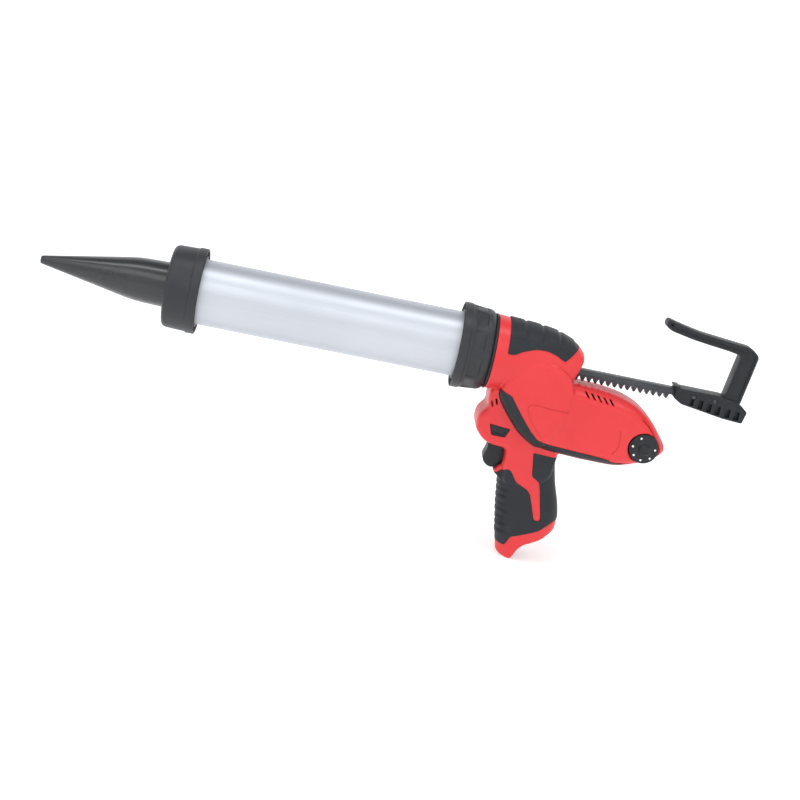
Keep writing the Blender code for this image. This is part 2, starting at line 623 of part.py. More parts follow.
def head_body(name, extra):
    sections = []
    for place, half_width, top, bottom in HEAD_SECTIONS:
        if place == 0 and extra:
            continue  # a cavity starts one section in
        x = min(place * MM, 75 * MM - extra)
        middle, half_height = (top + bottom) / 2 * MM, (top - bottom) / 2 * MM
        section = rounded(half_width * MM - extra, half_height - extra, 2 + place / 75 * 0.8)
        sections.append([(x, y, middle + z) for y, z in section])
    return loft(name, sections)


def grip_body(name, extra):
    sections = []
    for height, front, rear, half_width in GRIP_SECTIONS:
        middle, half_length = (front + rear) / 2 * MM, (rear - front) / 2 * MM
        section = rounded(half_length - extra, half_width * MM - extra, 2.5)
        sections.append([(middle + x, y, height * MM) for x, y in section])
    return loft(name, sections)


def outer_body(name, extra=0.0):
    """The whole housing as one solid; extra shrinks it all round, and leaves its foot open."""
    body = pillow(name, POD_OUTLINE, POD_LEVELS, extra)
    boolean(body, pillow("dome", DOME_OUTLINE, DOME_LEVELS, extra), "UNION")
    boolean(body, head_body("head", extra), "UNION")
    boolean(body, pillow("neck", NECK_OUTLINE, NECK_LEVELS, extra), "UNION")
    grip = grip_body("grip", extra)
    if not extra:
        boolean(grip, plate("underside", [GRIP_UNDERSIDE], -40 * MM, 40 * MM), "DIFFERENCE")
        boolean(grip, plate("guard", [GUARD], -GUARD_HALF_WIDTH, GUARD_HALF_WIDTH), "UNION")
    return boolean(body, grip, "UNION")


def joined(name, pieces):
    """One object that holds several separate solids, to cut or join them in one step."""
    bm = bmesh.new()
    for piece in pieces:
        bm.from_mesh(piece.data)
        bpy.data.objects.remove(piece)
    return from_bmesh(name, bm)


def side_block(side):
    """Everything on one side of the parting plane: side is -1 for the left."""
    low, high = sorted((side * PARTING, side * 60 * MM))
    return box("side", (-60 * MM, low, -200 * MM), (260 * MM, high, 60 * MM))


def side_prism(name, outline, side, inner):
    """The outline pushed out through one side of the housing, from inner mm off the middle."""
    low, high = sorted((side * inner, side * 60 * MM))
    return plate(name, [outline], low, high)


# ---- Rubber and trim laid into the shell: outline, where it starts from the middle, finish ----------
TOP_PAD = mm(
    [(9.5, 40), (10.2, 5.8), (16.5, 6.2), (22, 9.8), (33, 13.4), (42, 13.6), (50, 11.4), (58.5, 7.2)]
    + [(70.5, 20.5), (78, 40)]
)
BELT = mm(
    [(6, -24), (9.8, -24.2), (15.4, -26.0), (21.8, -28.4), (26.2, -34.2), (34.4, -44.4), (42.2, -53.2), (49.6, -60)]
    + [(60, -62.8), (104, -65), (117, -66.8), (121, -70), (119, -80), (50, -80), (20, -60), (-5, -30)]
)
GRIP_PAD = mm(
    [(50.8, -73.5), (54.2, -93.5), (61.1, -97.6), (62.9, -101.6), (69.6, -129.6), (68, -131.3), (64.2, -131)]
    + [(56.3, -110), (52.8, -106), (42.3, -101.4), (36, -92.6), (32.3, -91.4), (29, -95), (24, -99), (15, -99)]
    + [(25, -150), (37, -158.6), (45.2, -158.4), (48.4, -149.6), (70, -140.2), (80, -132), (100, -120)]
    + [(100, -76.6), (72, -74.6)]
)
OVERLAYS = (
    ("top_pad", TOP_PAD, PARTING, "grey_rubber"),
    ("belt", BELT, 21.2 * MM, "black_plastic"),
    ("grip_pad", GRIP_PAD, PARTING, "grey_rubber"),
)

# ---- Screws: place, and how far from the middle the head seats on the right half --------------------
SCREWS = mm(
    [(13, 21, 12), (66, 12.5, 8), (96, -18.5, 15), (138, -33, 15), (99, -67, 15), (63, -84, 11)]
    + [(76.5, -118, 8)]
)
BOSS_RADIUS = 3.2 * MM
COLLAR_RADIUS = 4.7 * MM
SHANK_RADIUS = 1.5 * MM
HEAD_RADIUS = 2.9 * MM
SCREW_REACH = 10 * MM  # past the middle into the left half


def screw_bosses(side, limit):
    """The columns that the screws pass through, cut off inside the housing's wall."""
    columns = []
    for x, z, seat in SCREWS:
        if side < 0:
            columns.append(rod("boss", -60 * MM, -PARTING, BOSS_RADIUS, SMALL, "Y", (x, z)))
            continue
        profile = [(PARTING, 0), (PARTING, BOSS_RADIUS), (seat - 2 * MM, BOSS_RADIUS)]
        profile += [(seat - 2 * MM, COLLAR_RADIUS), (60 * MM, COLLAR_RADIUS), (60 * MM, 0)]
        columns.append(turned("boss", profile, SMALL, "Y", (x, z)))
    return boolean(joined("bosses", columns), copy_of(limit, "limit"), "INTERSECT")


def screw_holes(side):
    holes = []
    for x, z, seat in SCREWS:
        shank, head = SHANK_RADIUS + GAP, HEAD_RADIUS + 2 * GAP
        if side < 0:
            holes.append(rod("hole", -SCREW_REACH - 1 * MM, 2 * MM, shank, SMALL, "Y", (x, z)))
            continue
        profile = [(-2 * MM, 0), (-2 * MM, shank), (seat, shank), (seat, head), (60 * MM, head), (60 * MM, 0)]
        holes.append(turned("hole", profile, SMALL, "Y", (x, z)))
    return joined("holes", holes)


def build_screws(frame):
    for i, (x, z, seat) in enumerate(SCREWS):
        top = seat + GAP + 2.2 * MM
        profile = [(-SCREW_REACH, 0), (-SCREW_REACH, SHANK_RADIUS), (seat + GAP, SHANK_RADIUS)]
        profile += [(seat + GAP, HEAD_RADIUS), (top, HEAD_RADIUS - 0.4 * MM), (top, 1.3 * MM)]
        profile += [(top - 1.2 * MM, 1.2 * MM), (top - 1.2 * MM, 0)]
        screw = turned(f"housing_screw_{i + 1}", profile, SMALL, "Y", (x, z))
        finish(screw, "black_steel", frame)


# ---- Controls: outlines are shared by the control and by its opening ---------------------------------
TRIGGER = mm(
    [(12, -73), (19.5, -72.4), (26, -72.9), (29.5, -75.5), (29, -86.5), (25.2, -92.4), (21.4, -96.1), (16.8, -95.6)]
    + [(12.6, -92), (11.6, -88), (13.6, -82), (14, -78)]
)
TRIGGER_TRAVEL = 5.0 * MM
TRIGGER_HALF_WIDTH = 8.5 * MM
LOCK = mm([(11, -57), (26.4, -58.4), (24, -64.6), (13.4, -64.6)])
LOCK_TRAVEL = 2.5 * MM
LOCK_HALF_LENGTH = 20.6 * MM
DIAL_SEAT = -21.3 * MM


def build_controls(frame):
    trigger = pillow("trigger", TRIGGER, [(TRIGGER_HALF_WIDTH - 1.5 * MM, 0), (TRIGGER_HALF_WIDTH, 1.0 * MM)])
    stem = box("stem", (20 * MM, -5 * MM, -90 * MM), (39 * MM, 5 * MM, -77 * MM))
    finish(boolean(trigger, stem, "UNION"), "black_plastic", frame)
    switch = box("trigger_switch", (45 * MM, -8 * MM, -93 * MM), (57 * MM, 8 * MM, -76 * MM))
    finish(switch, "black_plastic", frame)
    coil = spring("trigger_spring", 39.4 * MM, 44.6 * MM, 3.2 * MM, 0.45 * MM, 3, (0, -83.5 * MM))
    finish(coil, "bright_steel", frame)
    lock = plate("lock_button", [LOCK], -LOCK_HALF_LENGTH, LOCK_HALF_LENGTH)
    finish(lock, "black_plastic", frame)
    dial_frame = axis_empty("dial_axis", (DIAL_CENTRE[0], 0, DIAL_CENTRE[1]), parent=frame)
    profile = mm([(-30.0, 0), (-30.0, 4.0), (-29.4, 4.6), (-27.2, 5.2), (-25.4, 12.2), (-21.7, 12.6), (-21.7, 2.7)])
    profile += mm([(-11, 2.7), (-11, 0)])
    finish(turned("speed_dial", profile, ROUND, "Y"), "black_plastic", dial_frame)
    pot = turned(
        "dial_potentiometer",
        mm([(-10.4, 0), (-10.4, 3.0), (-17.7, 3.0), (-17.7, 7.0), (-8.5, 7.0), (-8.5, 0)]),
        MEDIUM,
        "Y",
        DIAL_CENTRE,
    )
    finish(pot, "black_plastic", frame)


def spring(name, start, end, radius, wire, turns, centre):
    """A coil along X."""
    steps, sides = 10 * turns, 6
    sections = []
    for i in range(steps + 1):
        turn = i / 10 * math.tau
        spoke = Vector((0, math.cos(turn), math.sin(turn)))
        place = Vector((start + wire + (end - start - 2 * wire) * i / steps, *centre)) + spoke * radius
        sections.append(
            [place + (spoke * math.cos(a) + Vector((math.sin(a), 0, 0))) * wire for a in
             (side * math.tau / sides for side in range(sides))]
        )
    return loft(name, sections)


def openings():
    """What is cut out of both halves: mouth, rod slot, trigger, lock button and vents."""
    mouth = rod("mouth", -2 * MM, 8 * MM, 26.3 * MM, ROUND)
    low = (58 * MM, -RACK_HALF_WIDTH - 3 * GAP, RACK_TIP - 3 * GAP)
    slot = box("slot", low, (90 * MM, RACK_HALF_WIDTH + 3 * GAP, RACK_TOP + 3 * GAP))
    edge = mm([(0, -72.1), (29, -72.1), (37, -74), (37, -97.2), (30, -97.9), (0, -97.9)])
    trigger_slot = plate("trigger_slot", [edge], -TRIGGER_HALF_WIDTH - 2 * GAP, TRIGGER_HALF_WIDTH + 2 * GAP)
    lock_hole = plate("lock_hole", [inset(LOCK, -1.2 * GAP)], -40 * MM, 40 * MM)
    vents = []
    for side in (-1, 1):
        for i in range(VENTS):
            x, z = 79.6 * MM + i * VENT_PITCH, -13.6 * MM - i * 0.6 * MM
            edge = [(x, z), (x + 1.9 * MM, z), (x + 5.6 * MM, z - 4.4 * MM), (x + 3.7 * MM, z - 4.4 * MM)]
            vents.append(side_prism("vent", edge, side, 17 * MM))
    return joined("openings", [mouth, slot, trigger_slot, lock_hole, *vents])


def build_shell():
    """The right half of the empty shell, recessed for its rubber, and the rubber pieces themselves."""
    outer = outer_body("outer")
    core = outer_body("core", PAD)
    sunk_core = outer_body("sunk_core", PAD + GAP)
    shell = copy_of(outer, "housing_right")
    boolean(shell, side_block(1), "INTERSECT")
    boolean(shell, outer_body("cavity", WALL), "DIFFERENCE")
    pads = []
    for name, outline, inner, finish_name in OVERLAYS:
        pad = copy_of(outer, f"{name}_right")
        boolean(pad, side_prism("edge", outline, 1, inner), "INTERSECT")
        boolean(pad, copy_of(core, "core"), "DIFFERENCE")
        pads.append((pad, finish_name))
        recess_inner = -2 * MM if inner == PARTING else inner - GAP
        recess = side_prism("recess", inset(outline, -GAP), 1, recess_inner)
        boolean(recess, copy_of(sunk_core, "core"), "DIFFERENCE")
        boolean(shell, recess, "DIFFERENCE")
    for spare in (outer, core, sunk_core):
        bpy.data.objects.remove(spare)
    return shell, pads


def build_housing(frame):
    right, pads = build_shell()
    left = mirrored(right, "housing_left")
    limit = outer_body("limit", (WALL + PAD + GAP) / 2)  # halfway through the wall under the rubber
    for pad, finish_name in pads:
        twin = mirrored(pad, pad.name.replace("right", "left"))
        finish(twin, finish_name, frame)
        if "belt" not in pad.name:
            boolean(pad, screw_holes(1), "DIFFERENCE")
        finish(pad, finish_name, frame)
    seat = rod("seat", -24 * MM, -18.2 * MM, 14.6 * MM, MEDIUM, "Y", DIAL_CENTRE)
    boolean(seat, copy_of(limit, "limit"), "INTERSECT", "MANIFOLD")
    boolean(left, seat, "UNION", "MANIFOLD")
    pocket = [(-60 * MM, 0), (-60 * MM, 13.0 * MM), (DIAL_SEAT, 13.0 * MM), (DIAL_SEAT, 3.2 * MM)]
    pocket += [(-10 * MM, 3.2 * MM), (-10 * MM, 0)]
    boolean(left, turned("pocket", pocket, ROUND, "Y", DIAL_CENTRE), "DIFFERENCE", "MANIFOLD")
    cuts = openings()
    for half, side in ((left, -1), (right, 1)):
        boolean(half, screw_bosses(side, limit), "UNION", "MANIFOLD")
        boolean(half, copy_of(cuts, "cuts"), "DIFFERENCE", "MANIFOLD")
        boolean(half, screw_holes(side), "DIFFERENCE", "MANIFOLD")
        finish(half, "red_plastic", frame)
    bpy.data.objects.remove(cuts)
    bpy.data.objects.remove(limit)


def build_electrics(frame):
    edge = mm([(132, -60), (140, -58.5), (146, -54), (147.5, -49), (142, -41.5), (134.5, -35), (132, -35)])
    finish(plate("control_board", [edge], 6.0 * MM, 7.6 * MM), "circuit_green", frame)
    block = box("terminal_block", (42 * MM, -9 * MM, -112 * MM), (66 * MM, 9 * MM, -104 * MM))
    for y in (-5.5, 0, 5.5):
        blade = box("blade", (46 * MM, (y - 0.5) * MM, -122 * MM), (58 * MM, (y + 0.5) * MM, -110 * MM))
        boolean(block, blade, "UNION")
    finish(block, "black_plastic", frame)


def main():
    root = axis_empty("gun_origin", (FLANGE_X, 0, AXIS_HEIGHT))
    build_nozzle(root)
    build_front_collar(root)
    build_tube(root)
    build_rear_collar(root)
    build_adapter(root)
    build_piston(root)
    build_rack(root)
    build_pull_handle(root)
    drive_frame = axis_empty("drive_axis", (SHAFT_X, 0, DRIVE_Z), parent=root)
    cross_frame = axis_empty("cross_axis", (SHAFT_X, 0, CROSS_Z), parent=root)
    motor_frame = axis_empty("motor_axis", (0, 0, MOTOR_Z), parent=root)
    build_drive_shafts(drive_frame, cross_frame)
    build_bevel_wheel(cross_frame)
    build_gear_plates(root)
    build_planetary(motor_frame)
    build_motor(motor_frame)
    build_controls(root)
    build_electrics(root)
    build_housing(root)
    build_screws(root)


clear_scene()
gun = bpy.data.collections.new("Caulking gun")
bpy.context.scene.collection.children.link(gun)
main()
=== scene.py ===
"""The finished look of a cordless caulking gun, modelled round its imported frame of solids.

Lengths are in millimetres on the gun's own axes until a piece is placed: x runs back along the barrel from
the housing's front flange, y towards the gun's right side, and z up from the barrel's axis.
"""

import logging
import math
from dataclasses import dataclass, field
from enum import Enum
from typing import Callable, Iterable, Sequence

import bpy
import numpy as np
from mathutils import Matrix, Vector


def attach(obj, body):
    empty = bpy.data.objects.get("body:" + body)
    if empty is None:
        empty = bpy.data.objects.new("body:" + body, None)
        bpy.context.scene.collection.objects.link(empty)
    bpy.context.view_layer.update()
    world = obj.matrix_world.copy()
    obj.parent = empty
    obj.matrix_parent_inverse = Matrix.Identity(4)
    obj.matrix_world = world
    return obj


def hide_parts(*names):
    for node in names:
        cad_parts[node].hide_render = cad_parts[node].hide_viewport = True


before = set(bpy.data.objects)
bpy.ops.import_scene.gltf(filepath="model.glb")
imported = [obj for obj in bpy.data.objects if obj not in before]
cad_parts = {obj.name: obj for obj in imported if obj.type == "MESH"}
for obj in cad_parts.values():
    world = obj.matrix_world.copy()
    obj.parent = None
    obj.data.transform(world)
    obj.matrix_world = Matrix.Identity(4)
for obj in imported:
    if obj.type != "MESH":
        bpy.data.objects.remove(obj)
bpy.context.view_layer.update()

Point = tuple[float, float]
Outline = list[Point]

log = logging.getLogger("caulking_gun")
MM = 0.001
ORIGIN = Vector((0.0781, 0.0, 0.170))  # where the barrel's axis meets the housing's front flange


# ---- Placing and shaping ---------------------------------------------------------------------------
class Side(Enum):
    """The gun's left side faces -Y, and its right side +Y."""

    LEFT = -1
    RIGHT = 1

    @property
    def word(self) -> str:
        """The side's name as the frame's nodes spell it."""
        return self.name.lower()


class Join(Enum):
    """How one solid works on another."""

    CUT = "DIFFERENCE"
    ADD = "UNION"
    KEEP = "INTERSECT"


class Axis(Enum):
    """The direction that a turned or extruded piece runs in."""

    X = 0
    Y = 1


def at(x: float, y: float, z: float) -> Vector:
    """A place on the gun's axes, in metres in the row's frame."""
    return ORIGIN + Vector((x, y, z)) * MM


def gun_points(obj: bpy.types.Object) -> np.ndarray:
    """The vertices of obj in millimetres on the gun's axes, one row each."""
    flat = np.empty(len(obj.data.vertices) * 3)
    obj.data.vertices.foreach_get("co", flat)
    return (flat.reshape(-1, 3) - np.array(ORIGIN)) / MM


def normals_of(obj: bpy.types.Object) -> np.ndarray:
    """The vertex normals of obj, one row each."""
    flat = np.empty(len(obj.data.vertices) * 3)
    obj.data.vertices.foreach_get("normal", flat)
    return flat.reshape(-1, 3)


def move_to(obj: bpy.types.Object, points: np.ndarray) -> None:
    """Puts the vertices of obj at points, in millimetres on the gun's axes."""
    obj.data.vertices.foreach_set("co", (points * MM + np.array(ORIGIN)).ravel())
    obj.data.update()


def settle(values: np.ndarray, low: float, high: float) -> np.ndarray:
    """A smooth step from 0 at low to 1 at high."""
    t = np.clip((values - low) / (high - low), 0.0, 1.0)
    return t * t * (3 - 2 * t)


def arc(centre: Point, radius: float, start: float, end: float, steps: int) -> Outline:
    """Points on a circular arc, in degrees from the first axis towards the second."""
    turns = [math.radians(start + (end - start) * i / steps) for i in range(steps + 1)]
    return [(centre[0] + radius * math.cos(t), centre[1] + radius * math.sin(t)) for t in turns]


def eased(outline: Outline, radius: float, steps: int = 4) -> Outline:
    """The outline with each corner rounded off.

    Args:
        outline: Corners of a closed outline.
        radius: How far from a corner its rounding starts, where the edges are long enough.
        steps: Pieces in each rounding.

    Returns:
        The rounded outline.
    """
    result: Outline = []
    for i, corner in enumerate(outline):
        here = Vector(corner)
        before = Vector(outline[i - 1]) - here
        after = Vector(outline[(i + 1) % len(outline)]) - here
        start = here + before.normalized() * min(radius, before.length * 0.45)
        end = here + after.normalized() * min(radius, after.length * 0.45)
        for k in range(steps + 1):
            t = k / steps
            point = start * (1 - t) ** 2 + here * (2 * t * (1 - t)) + end * t * t
            result.append((point.x, point.y))
    return result


def shrunk(outline: Outline, amount: float) -> Outline:
    """The outline moved inwards by amount, or outwards where amount is negative."""
    area = sum(a[0] * b[1] - b[0] * a[1] for a, b in zip(outline, outline[1:] + outline[:1]))
    turn = 1 if area > 0 else -1
    moved: Outline = []
    for i, corner in enumerate(outline):
        before, here = Vector(outline[i - 1]), Vector(corner)
        after = Vector(outline[(i + 1) % len(outline)])
        in_a = (here - before).normalized().orthogonal() * turn
        in_b = (after - here).normalized().orthogonal() * turn
        middle = (in_a + in_b).normalized()
        point = here + middle * (amount / max(0.5, middle.dot(in_a)))
        moved.append((point.x, point.y))
    return moved


# ---- The bench: each tool leaves one finished mesh whose object sits at the origin -------------------
class Bench:
    """Modelling steps shared by every piece, done with the same tools as by hand."""

    @staticmethod
    def pick(obj: bpy.types.Object) -> None:
        """Makes obj the only selected and active object."""
        if bpy.context.object and bpy.context.object.mode != "OBJECT":
            bpy.ops.object.mode_set(mode="OBJECT")
        bpy.ops.object.select_all(action="DESELECT")
        obj.select_set(True)
        bpy.context.view_layer.objects.active = obj

    @classmethod
    def tidy(cls, obj: bpy.types.Object, merge: float = 0.002) -> bpy.types.Object:
        """Merges doubles, drops loose edges and turns the faces outwards."""
        cls.pick(obj)
        bpy.ops.object.mode_set(mode="EDIT")
        bpy.ops.mesh.select_all(action="SELECT")
        bpy.ops.mesh.remove_doubles(threshold=merge * MM)
        bpy.ops.mesh.delete_loose(use_verts=True, use_edges=True, use_faces=False)
        bpy.ops.mesh.select_all(action="SELECT")
        bpy.ops.mesh.normals_make_consistent(inside=False)
        bpy.ops.object.mode_set(mode="OBJECT")
        return obj

    @staticmethod
    def loop(name: str, count: int, filled: bool) -> bpy.types.Object:
        """A ring of count corners, filled or not, ready to be moved into an outline."""
        bpy.ops.object.select_all(action="DESELECT")
        fill = "NGON" if filled else "NOTHING"
        bpy.ops.mesh.primitive_circle_add(vertices=count, radius=0.01, fill_type=fill)
        obj = bpy.context.object
        obj.name = obj.data.name = name
        return obj

    @classmethod
    def slab(cls, name: str, outline: Outline, low: float, high: float, axis: Axis = Axis.Y) -> bpy.types.Object:
        """An outline extruded between two planes.

        Args:
            name: The new object's name.
            outline: (x, z) corners for the Y axis, or (y, z) corners for the X axis.
            low: Where it starts along the axis.
            high: Where it ends.
            axis: The direction of the extrusion.

        Returns:
            The closed slab.
        """
        obj = cls.loop(name, len(outline), True)
        flat = [(a, low, b) if axis is Axis.Y else (low, a, b) for a, b in outline]
        move_to(obj, np.array(flat))
        step = Vector((0, high - low, 0)) if axis is Axis.Y else Vector((high - low, 0, 0))
        bpy.ops.object.mode_set(mode="EDIT")
        bpy.ops.mesh.select_all(action="SELECT")
        bpy.ops.mesh.extrude_region_move(TRANSFORM_OT_translate={"value": tuple(step * MM)})
        bpy.ops.object.mode_set(mode="OBJECT")
        return cls.tidy(obj)

    @classmethod
    def turned(
        cls, name: str, profile: Outline, steps: int = 96, axis: Axis = Axis.X, centre: Point = (0, 0)
    ) -> bpy.types.Object:
        """A closed profile spun once round.

        Args:
            name: The new object's name.
            profile: (place along the axis, radius) corners.
            steps: Faces round the piece.
            axis: The axis of the turning.
            centre: Where the axis lies: (y, z) for X, or (x, z) for Y.

        Returns:
            The turned piece.
        """
        obj = cls.loop(name, len(profile), False)
        if axis is Axis.X:
            flat = [(a, centre[0], centre[1] + r) for a, r in profile]
            middle, turn = at(0, *centre), (1, 0, 0)
        else:
            flat = [(centre[0], a, centre[1] + r) for a, r in profile]
            middle, turn = at(centre[0], 0, centre[1]), (0, 1, 0)
        move_to(obj, np.array(flat))
        bpy.ops.object.mode_set(mode="EDIT")
        bpy.ops.mesh.select_all(action="SELECT")
        bpy.ops.mesh.spin(steps=steps, angle=math.tau, center=tuple(middle), axis=turn)
        bpy.ops.object.mode_set(mode="OBJECT")
        return cls.tidy(obj)

    @classmethod
    def rod(cls, name: str, radius: float, ends: Point, steps: int, place: Point) -> bpy.types.Object:
        """A plain round rod across the gun, from one end to the other in y, at a place (x, z)."""
        low, high = ends
        return cls.turned(name, [(low, 0), (low, radius), (high, radius), (high, 0)], steps, Axis.Y, place)

    @classmethod
    def skinned(cls, name: str, sections: Sequence[Sequence[tuple[float, float, float]]]) -> bpy.types.Object:
        """A closed body bridged through sections of equally many points."""
        count = len(sections[0])
        obj = cls.loop(name, count, False)
        bpy.ops.object.mode_set(mode="EDIT")
        for _ in sections[1:]:
            bpy.ops.mesh.primitive_circle_add(vertices=count, radius=0.01, fill_type="NOTHING")
        bpy.ops.object.mode_set(mode="OBJECT")
        move_to(obj, np.array([point for section in sections for point in section]))
        for i in range(len(sections) - 1):
            cls.pick_verts(obj, range(i * count, (i + 2) * count))
            bpy.ops.object.mode_set(mode="EDIT")
            bpy.ops.mesh.bridge_edge_loops()
            bpy.ops.object.mode_set(mode="OBJECT")
        for start in (0, (len(sections) - 1) * count):
            cls.pick_verts(obj, range(start, start + count))
            bpy.ops.object.mode_set(mode="EDIT")
            bpy.ops.mesh.edge_face_add()
            bpy.ops.object.mode_set(mode="OBJECT")
        return cls.tidy(obj, 0.0001)

    @classmethod
    def pick_verts(cls, obj: bpy.types.Object, chosen: Iterable[int]) -> None:
        """Selects these vertices of obj, and the edges between them, and nothing else."""
        cls.pick(obj)
        mesh = obj.data
        flags = np.zeros(len(mesh.vertices), dtype=bool)
        flags[list(chosen)] = True
        mesh.vertices.foreach_set("select", flags)
        ends = np.empty(len(mesh.edges) * 2, dtype=int)
        mesh.edges.foreach_get("vertices", ends)
        mesh.edges.foreach_set("select", flags[ends.reshape(-1, 2)].all(axis=1))
        mesh.polygons.foreach_set("select", np.zeros(len(mesh.polygons), dtype=bool))

    @classmethod
    def apply(cls, obj: bpy.types.Object, kind: str, **settings: object) -> bpy.types.Object:
        """Adds one modifier with these settings and applies it."""
        cls.pick(obj)
        modifier = obj.modifiers.new(kind.title(), kind)
        for key, value in settings.items():
            setattr(modifier, key, value)
        bpy.ops.object.modifier_apply(modifier=modifier.name)
        return obj

    @classmethod
    def work(
        cls, obj: bpy.types.Object, other: bpy.types.Object, how: Join, quick: bool = False, keep: bool = False
    ) -> bpy.types.Object:
        """Cuts, joins or keeps the common part of two solids.

        Args:
            obj: The piece that is worked on.
            other: The tool.
            how: What the tool does.
            quick: Whether both meshes are fine and closed, for the faster solver.
            keep: Whether the tool is kept.

        Returns:
            The piece.
        """
        solver = "MANIFOLD" if quick else "EXACT"
        cls.apply(obj, "BOOLEAN", operation=how.value, object=other, solver=solver)
        if not keep:
            bpy.data.objects.remove(other)
        return obj

    @classmethod
    def joined(cls, name: str, pieces: Sequence[bpy.types.Object]) -> bpy.types.Object:
        """Several solids as one object."""
        cls.pick(pieces[0])
        for piece in pieces[1:]:
            piece.select_set(True)
        if len(pieces) > 1:
            bpy.ops.object.join()
        pieces[0].name = pieces[0].data.name = name
        return pieces[0]

    @staticmethod
    def copied(obj: bpy.types.Object, name: str, change: Matrix | None = None) -> bpy.types.Object:
        """A copy of obj with its own mesh, turned or moved where a change is given."""
        twin = bpy.data.objects.new(name, obj.data.copy())
        bpy.context.scene.collection.objects.link(twin)
        twin.data.name = name
        if change is not None:
            twin.data.transform(change)
            if change.determinant() < 0:
                twin.data.flip_normals()
        return twin

    @classmethod
    def swelled(
        cls, obj: bpy.types.Object, name: str, amount: Callable[[np.ndarray, np.ndarray], np.ndarray]
    ) -> bpy.types.Object:
        """A copy of obj with every point moved along its normal.

        Args:
            obj: The finely meshed body.
            name: The copy's name.
            amount: Gives the move in millimetres from the points and their normals.

        Returns:
            The moved copy.
        """
        twin = cls.copied(obj, name)
        points, normals = gun_points(twin), normals_of(twin)
        move_to(twin, points + normals * amount(points, normals)[:, None])
        return twin

    @classmethod
    def rounded_edges(
        cls, obj: bpy.types.Object, width: float, segments: int = 3, angle: float = 30
    ) -> bpy.types.Object:
        """Rounds every edge sharper than angle, in degrees."""
        return cls.apply(
            obj, "BEVEL", width=width * MM, segments=segments, limit_method="ANGLE",
            angle_limit=math.radians(angle), harden_normals=False,
        )

    @classmethod
    def around(cls, name: str, obj: bpy.types.Object, count: int, centre: Vector, axis: str) -> bpy.types.Object:
        """obj repeated count times round an axis, as one object."""
        copies = [obj]
        for i in range(1, count):
            spin = Matrix.Translation(centre) @ Matrix.Rotation(math.tau * i / count, 4, axis)
            copies.append(cls.copied(obj, f"{name}_{i}", spin @ Matrix.Translation(-centre)))
        return cls.joined(name, copies)


# ---- Finishes --------------------------------------------------------------------------------------
@dataclass(frozen=True)
class Finish:
    """A material made from procedural texture on the piece's own coordinates.

    Attributes:
        name: The material's name.
        colour: Its main colour.
        shade: The second colour that it drifts to.
        roughness: Lowest and highest roughness.
        metallic: How much of a metal it is.
        grain: Texture size as repeats in a metre along x, y and z.
        bump: Depth of the fine relief, in millimetres.
        drift: Size of the slow change of colour, in repeats in a metre.
        coat: A clear gloss over it.
        sheen: Soft light at grazing angles.
        specular: Strength of its reflections.
    """

    name: str
    colour: tuple[float, float, float]
    shade: tuple[float, float, float]
    roughness: tuple[float, float]
    metallic: float = 0.0
    grain: tuple[float, float, float] = (1600.0, 1600.0, 1600.0)
    bump: float = 0.01
    drift: float = 25.0
    coat: float = 0.0
    sheen: float = 0.0
    specular: float = 0.5

    def material(self) -> bpy.types.Material:
        """The finish as a material, made once."""
        found = bpy.data.materials.get(self.name)
        if found:
            return found
        made = bpy.data.materials.new(self.name)
        made.use_nodes = True
        nodes, links = made.node_tree.nodes, made.node_tree.links
        shader = nodes["Principled BSDF"]
        shader.inputs["Metallic"].default_value = self.metallic
        shader.inputs["Coat Weight"].default_value = self.coat
        shader.inputs["Coat Roughness"].default_value = 0.25
        shader.inputs["Sheen Weight"].default_value = self.sheen
        shader.inputs["Specular IOR Level"].default_value = self.specular
        place = nodes.new("ShaderNodeTexCoord")
        stretch = nodes.new("ShaderNodeMapping")
        stretch.inputs["Scale"].default_value = self.grain
        links.new(place.outputs["Object"], stretch.inputs["Vector"])
        fine = nodes.new("ShaderNodeTexNoise")
        fine.inputs["Scale"].default_value = 1.0
        fine.inputs["Detail"].default_value = 3.0
        links.new(stretch.outputs["Vector"], fine.inputs["Vector"])
        slow = nodes.new("ShaderNodeTexNoise")
        slow.inputs["Scale"].default_value = self.drift
        slow.inputs["Detail"].default_value = 4.0
        slow.inputs["Roughness"].default_value = 0.6
        links.new(place.outputs["Object"], slow.inputs["Vector"])
        blend = nodes.new("ShaderNodeMix")
        blend.data_type = "RGBA"
        blend.inputs["A"].default_value = (*self.colour, 1)
        blend.inputs["B"].default_value = (*self.shade, 1)
        both = nodes.new("ShaderNodeMath")
        both.operation = "MULTIPLY"
        links.new(slow.outputs["Fac"], both.inputs[0])
        links.new(fine.outputs["Fac"], both.inputs[1])
        spread = nodes.new("ShaderNodeMapRange")
        spread.inputs["From Min"].default_value = 0.12
        spread.inputs["From Max"].default_value = 0.42
        links.new(both.outputs["Value"], spread.inputs["Value"])
        links.new(spread.outputs["Result"], blend.inputs["Factor"])
        links.new(blend.outputs["Result"], shader.inputs["Base Color"])
        rough = nodes.new("ShaderNodeMapRange")
        rough.inputs["From Min"].default_value = 0.3
        rough.inputs["From Max"].default_value = 0.7
        rough.inputs["To Min"].default_value, rough.inputs["To Max"].default_value = self.roughness
        links.new(slow.outputs["Fac"], rough.inputs["Value"])
        links.new(rough.outputs["Result"], shader.inputs["Roughness"])
        relief = nodes.new("ShaderNodeBump")
        relief.inputs["Strength"].default_value = 0.6
        relief.inputs["Distance"].default_value = self.bump * MM
        links.new(fine.outputs["Fac"], relief.inputs["Height"])
        links.new(relief.outputs["Normal"], shader.inputs["Normal"])
        return made


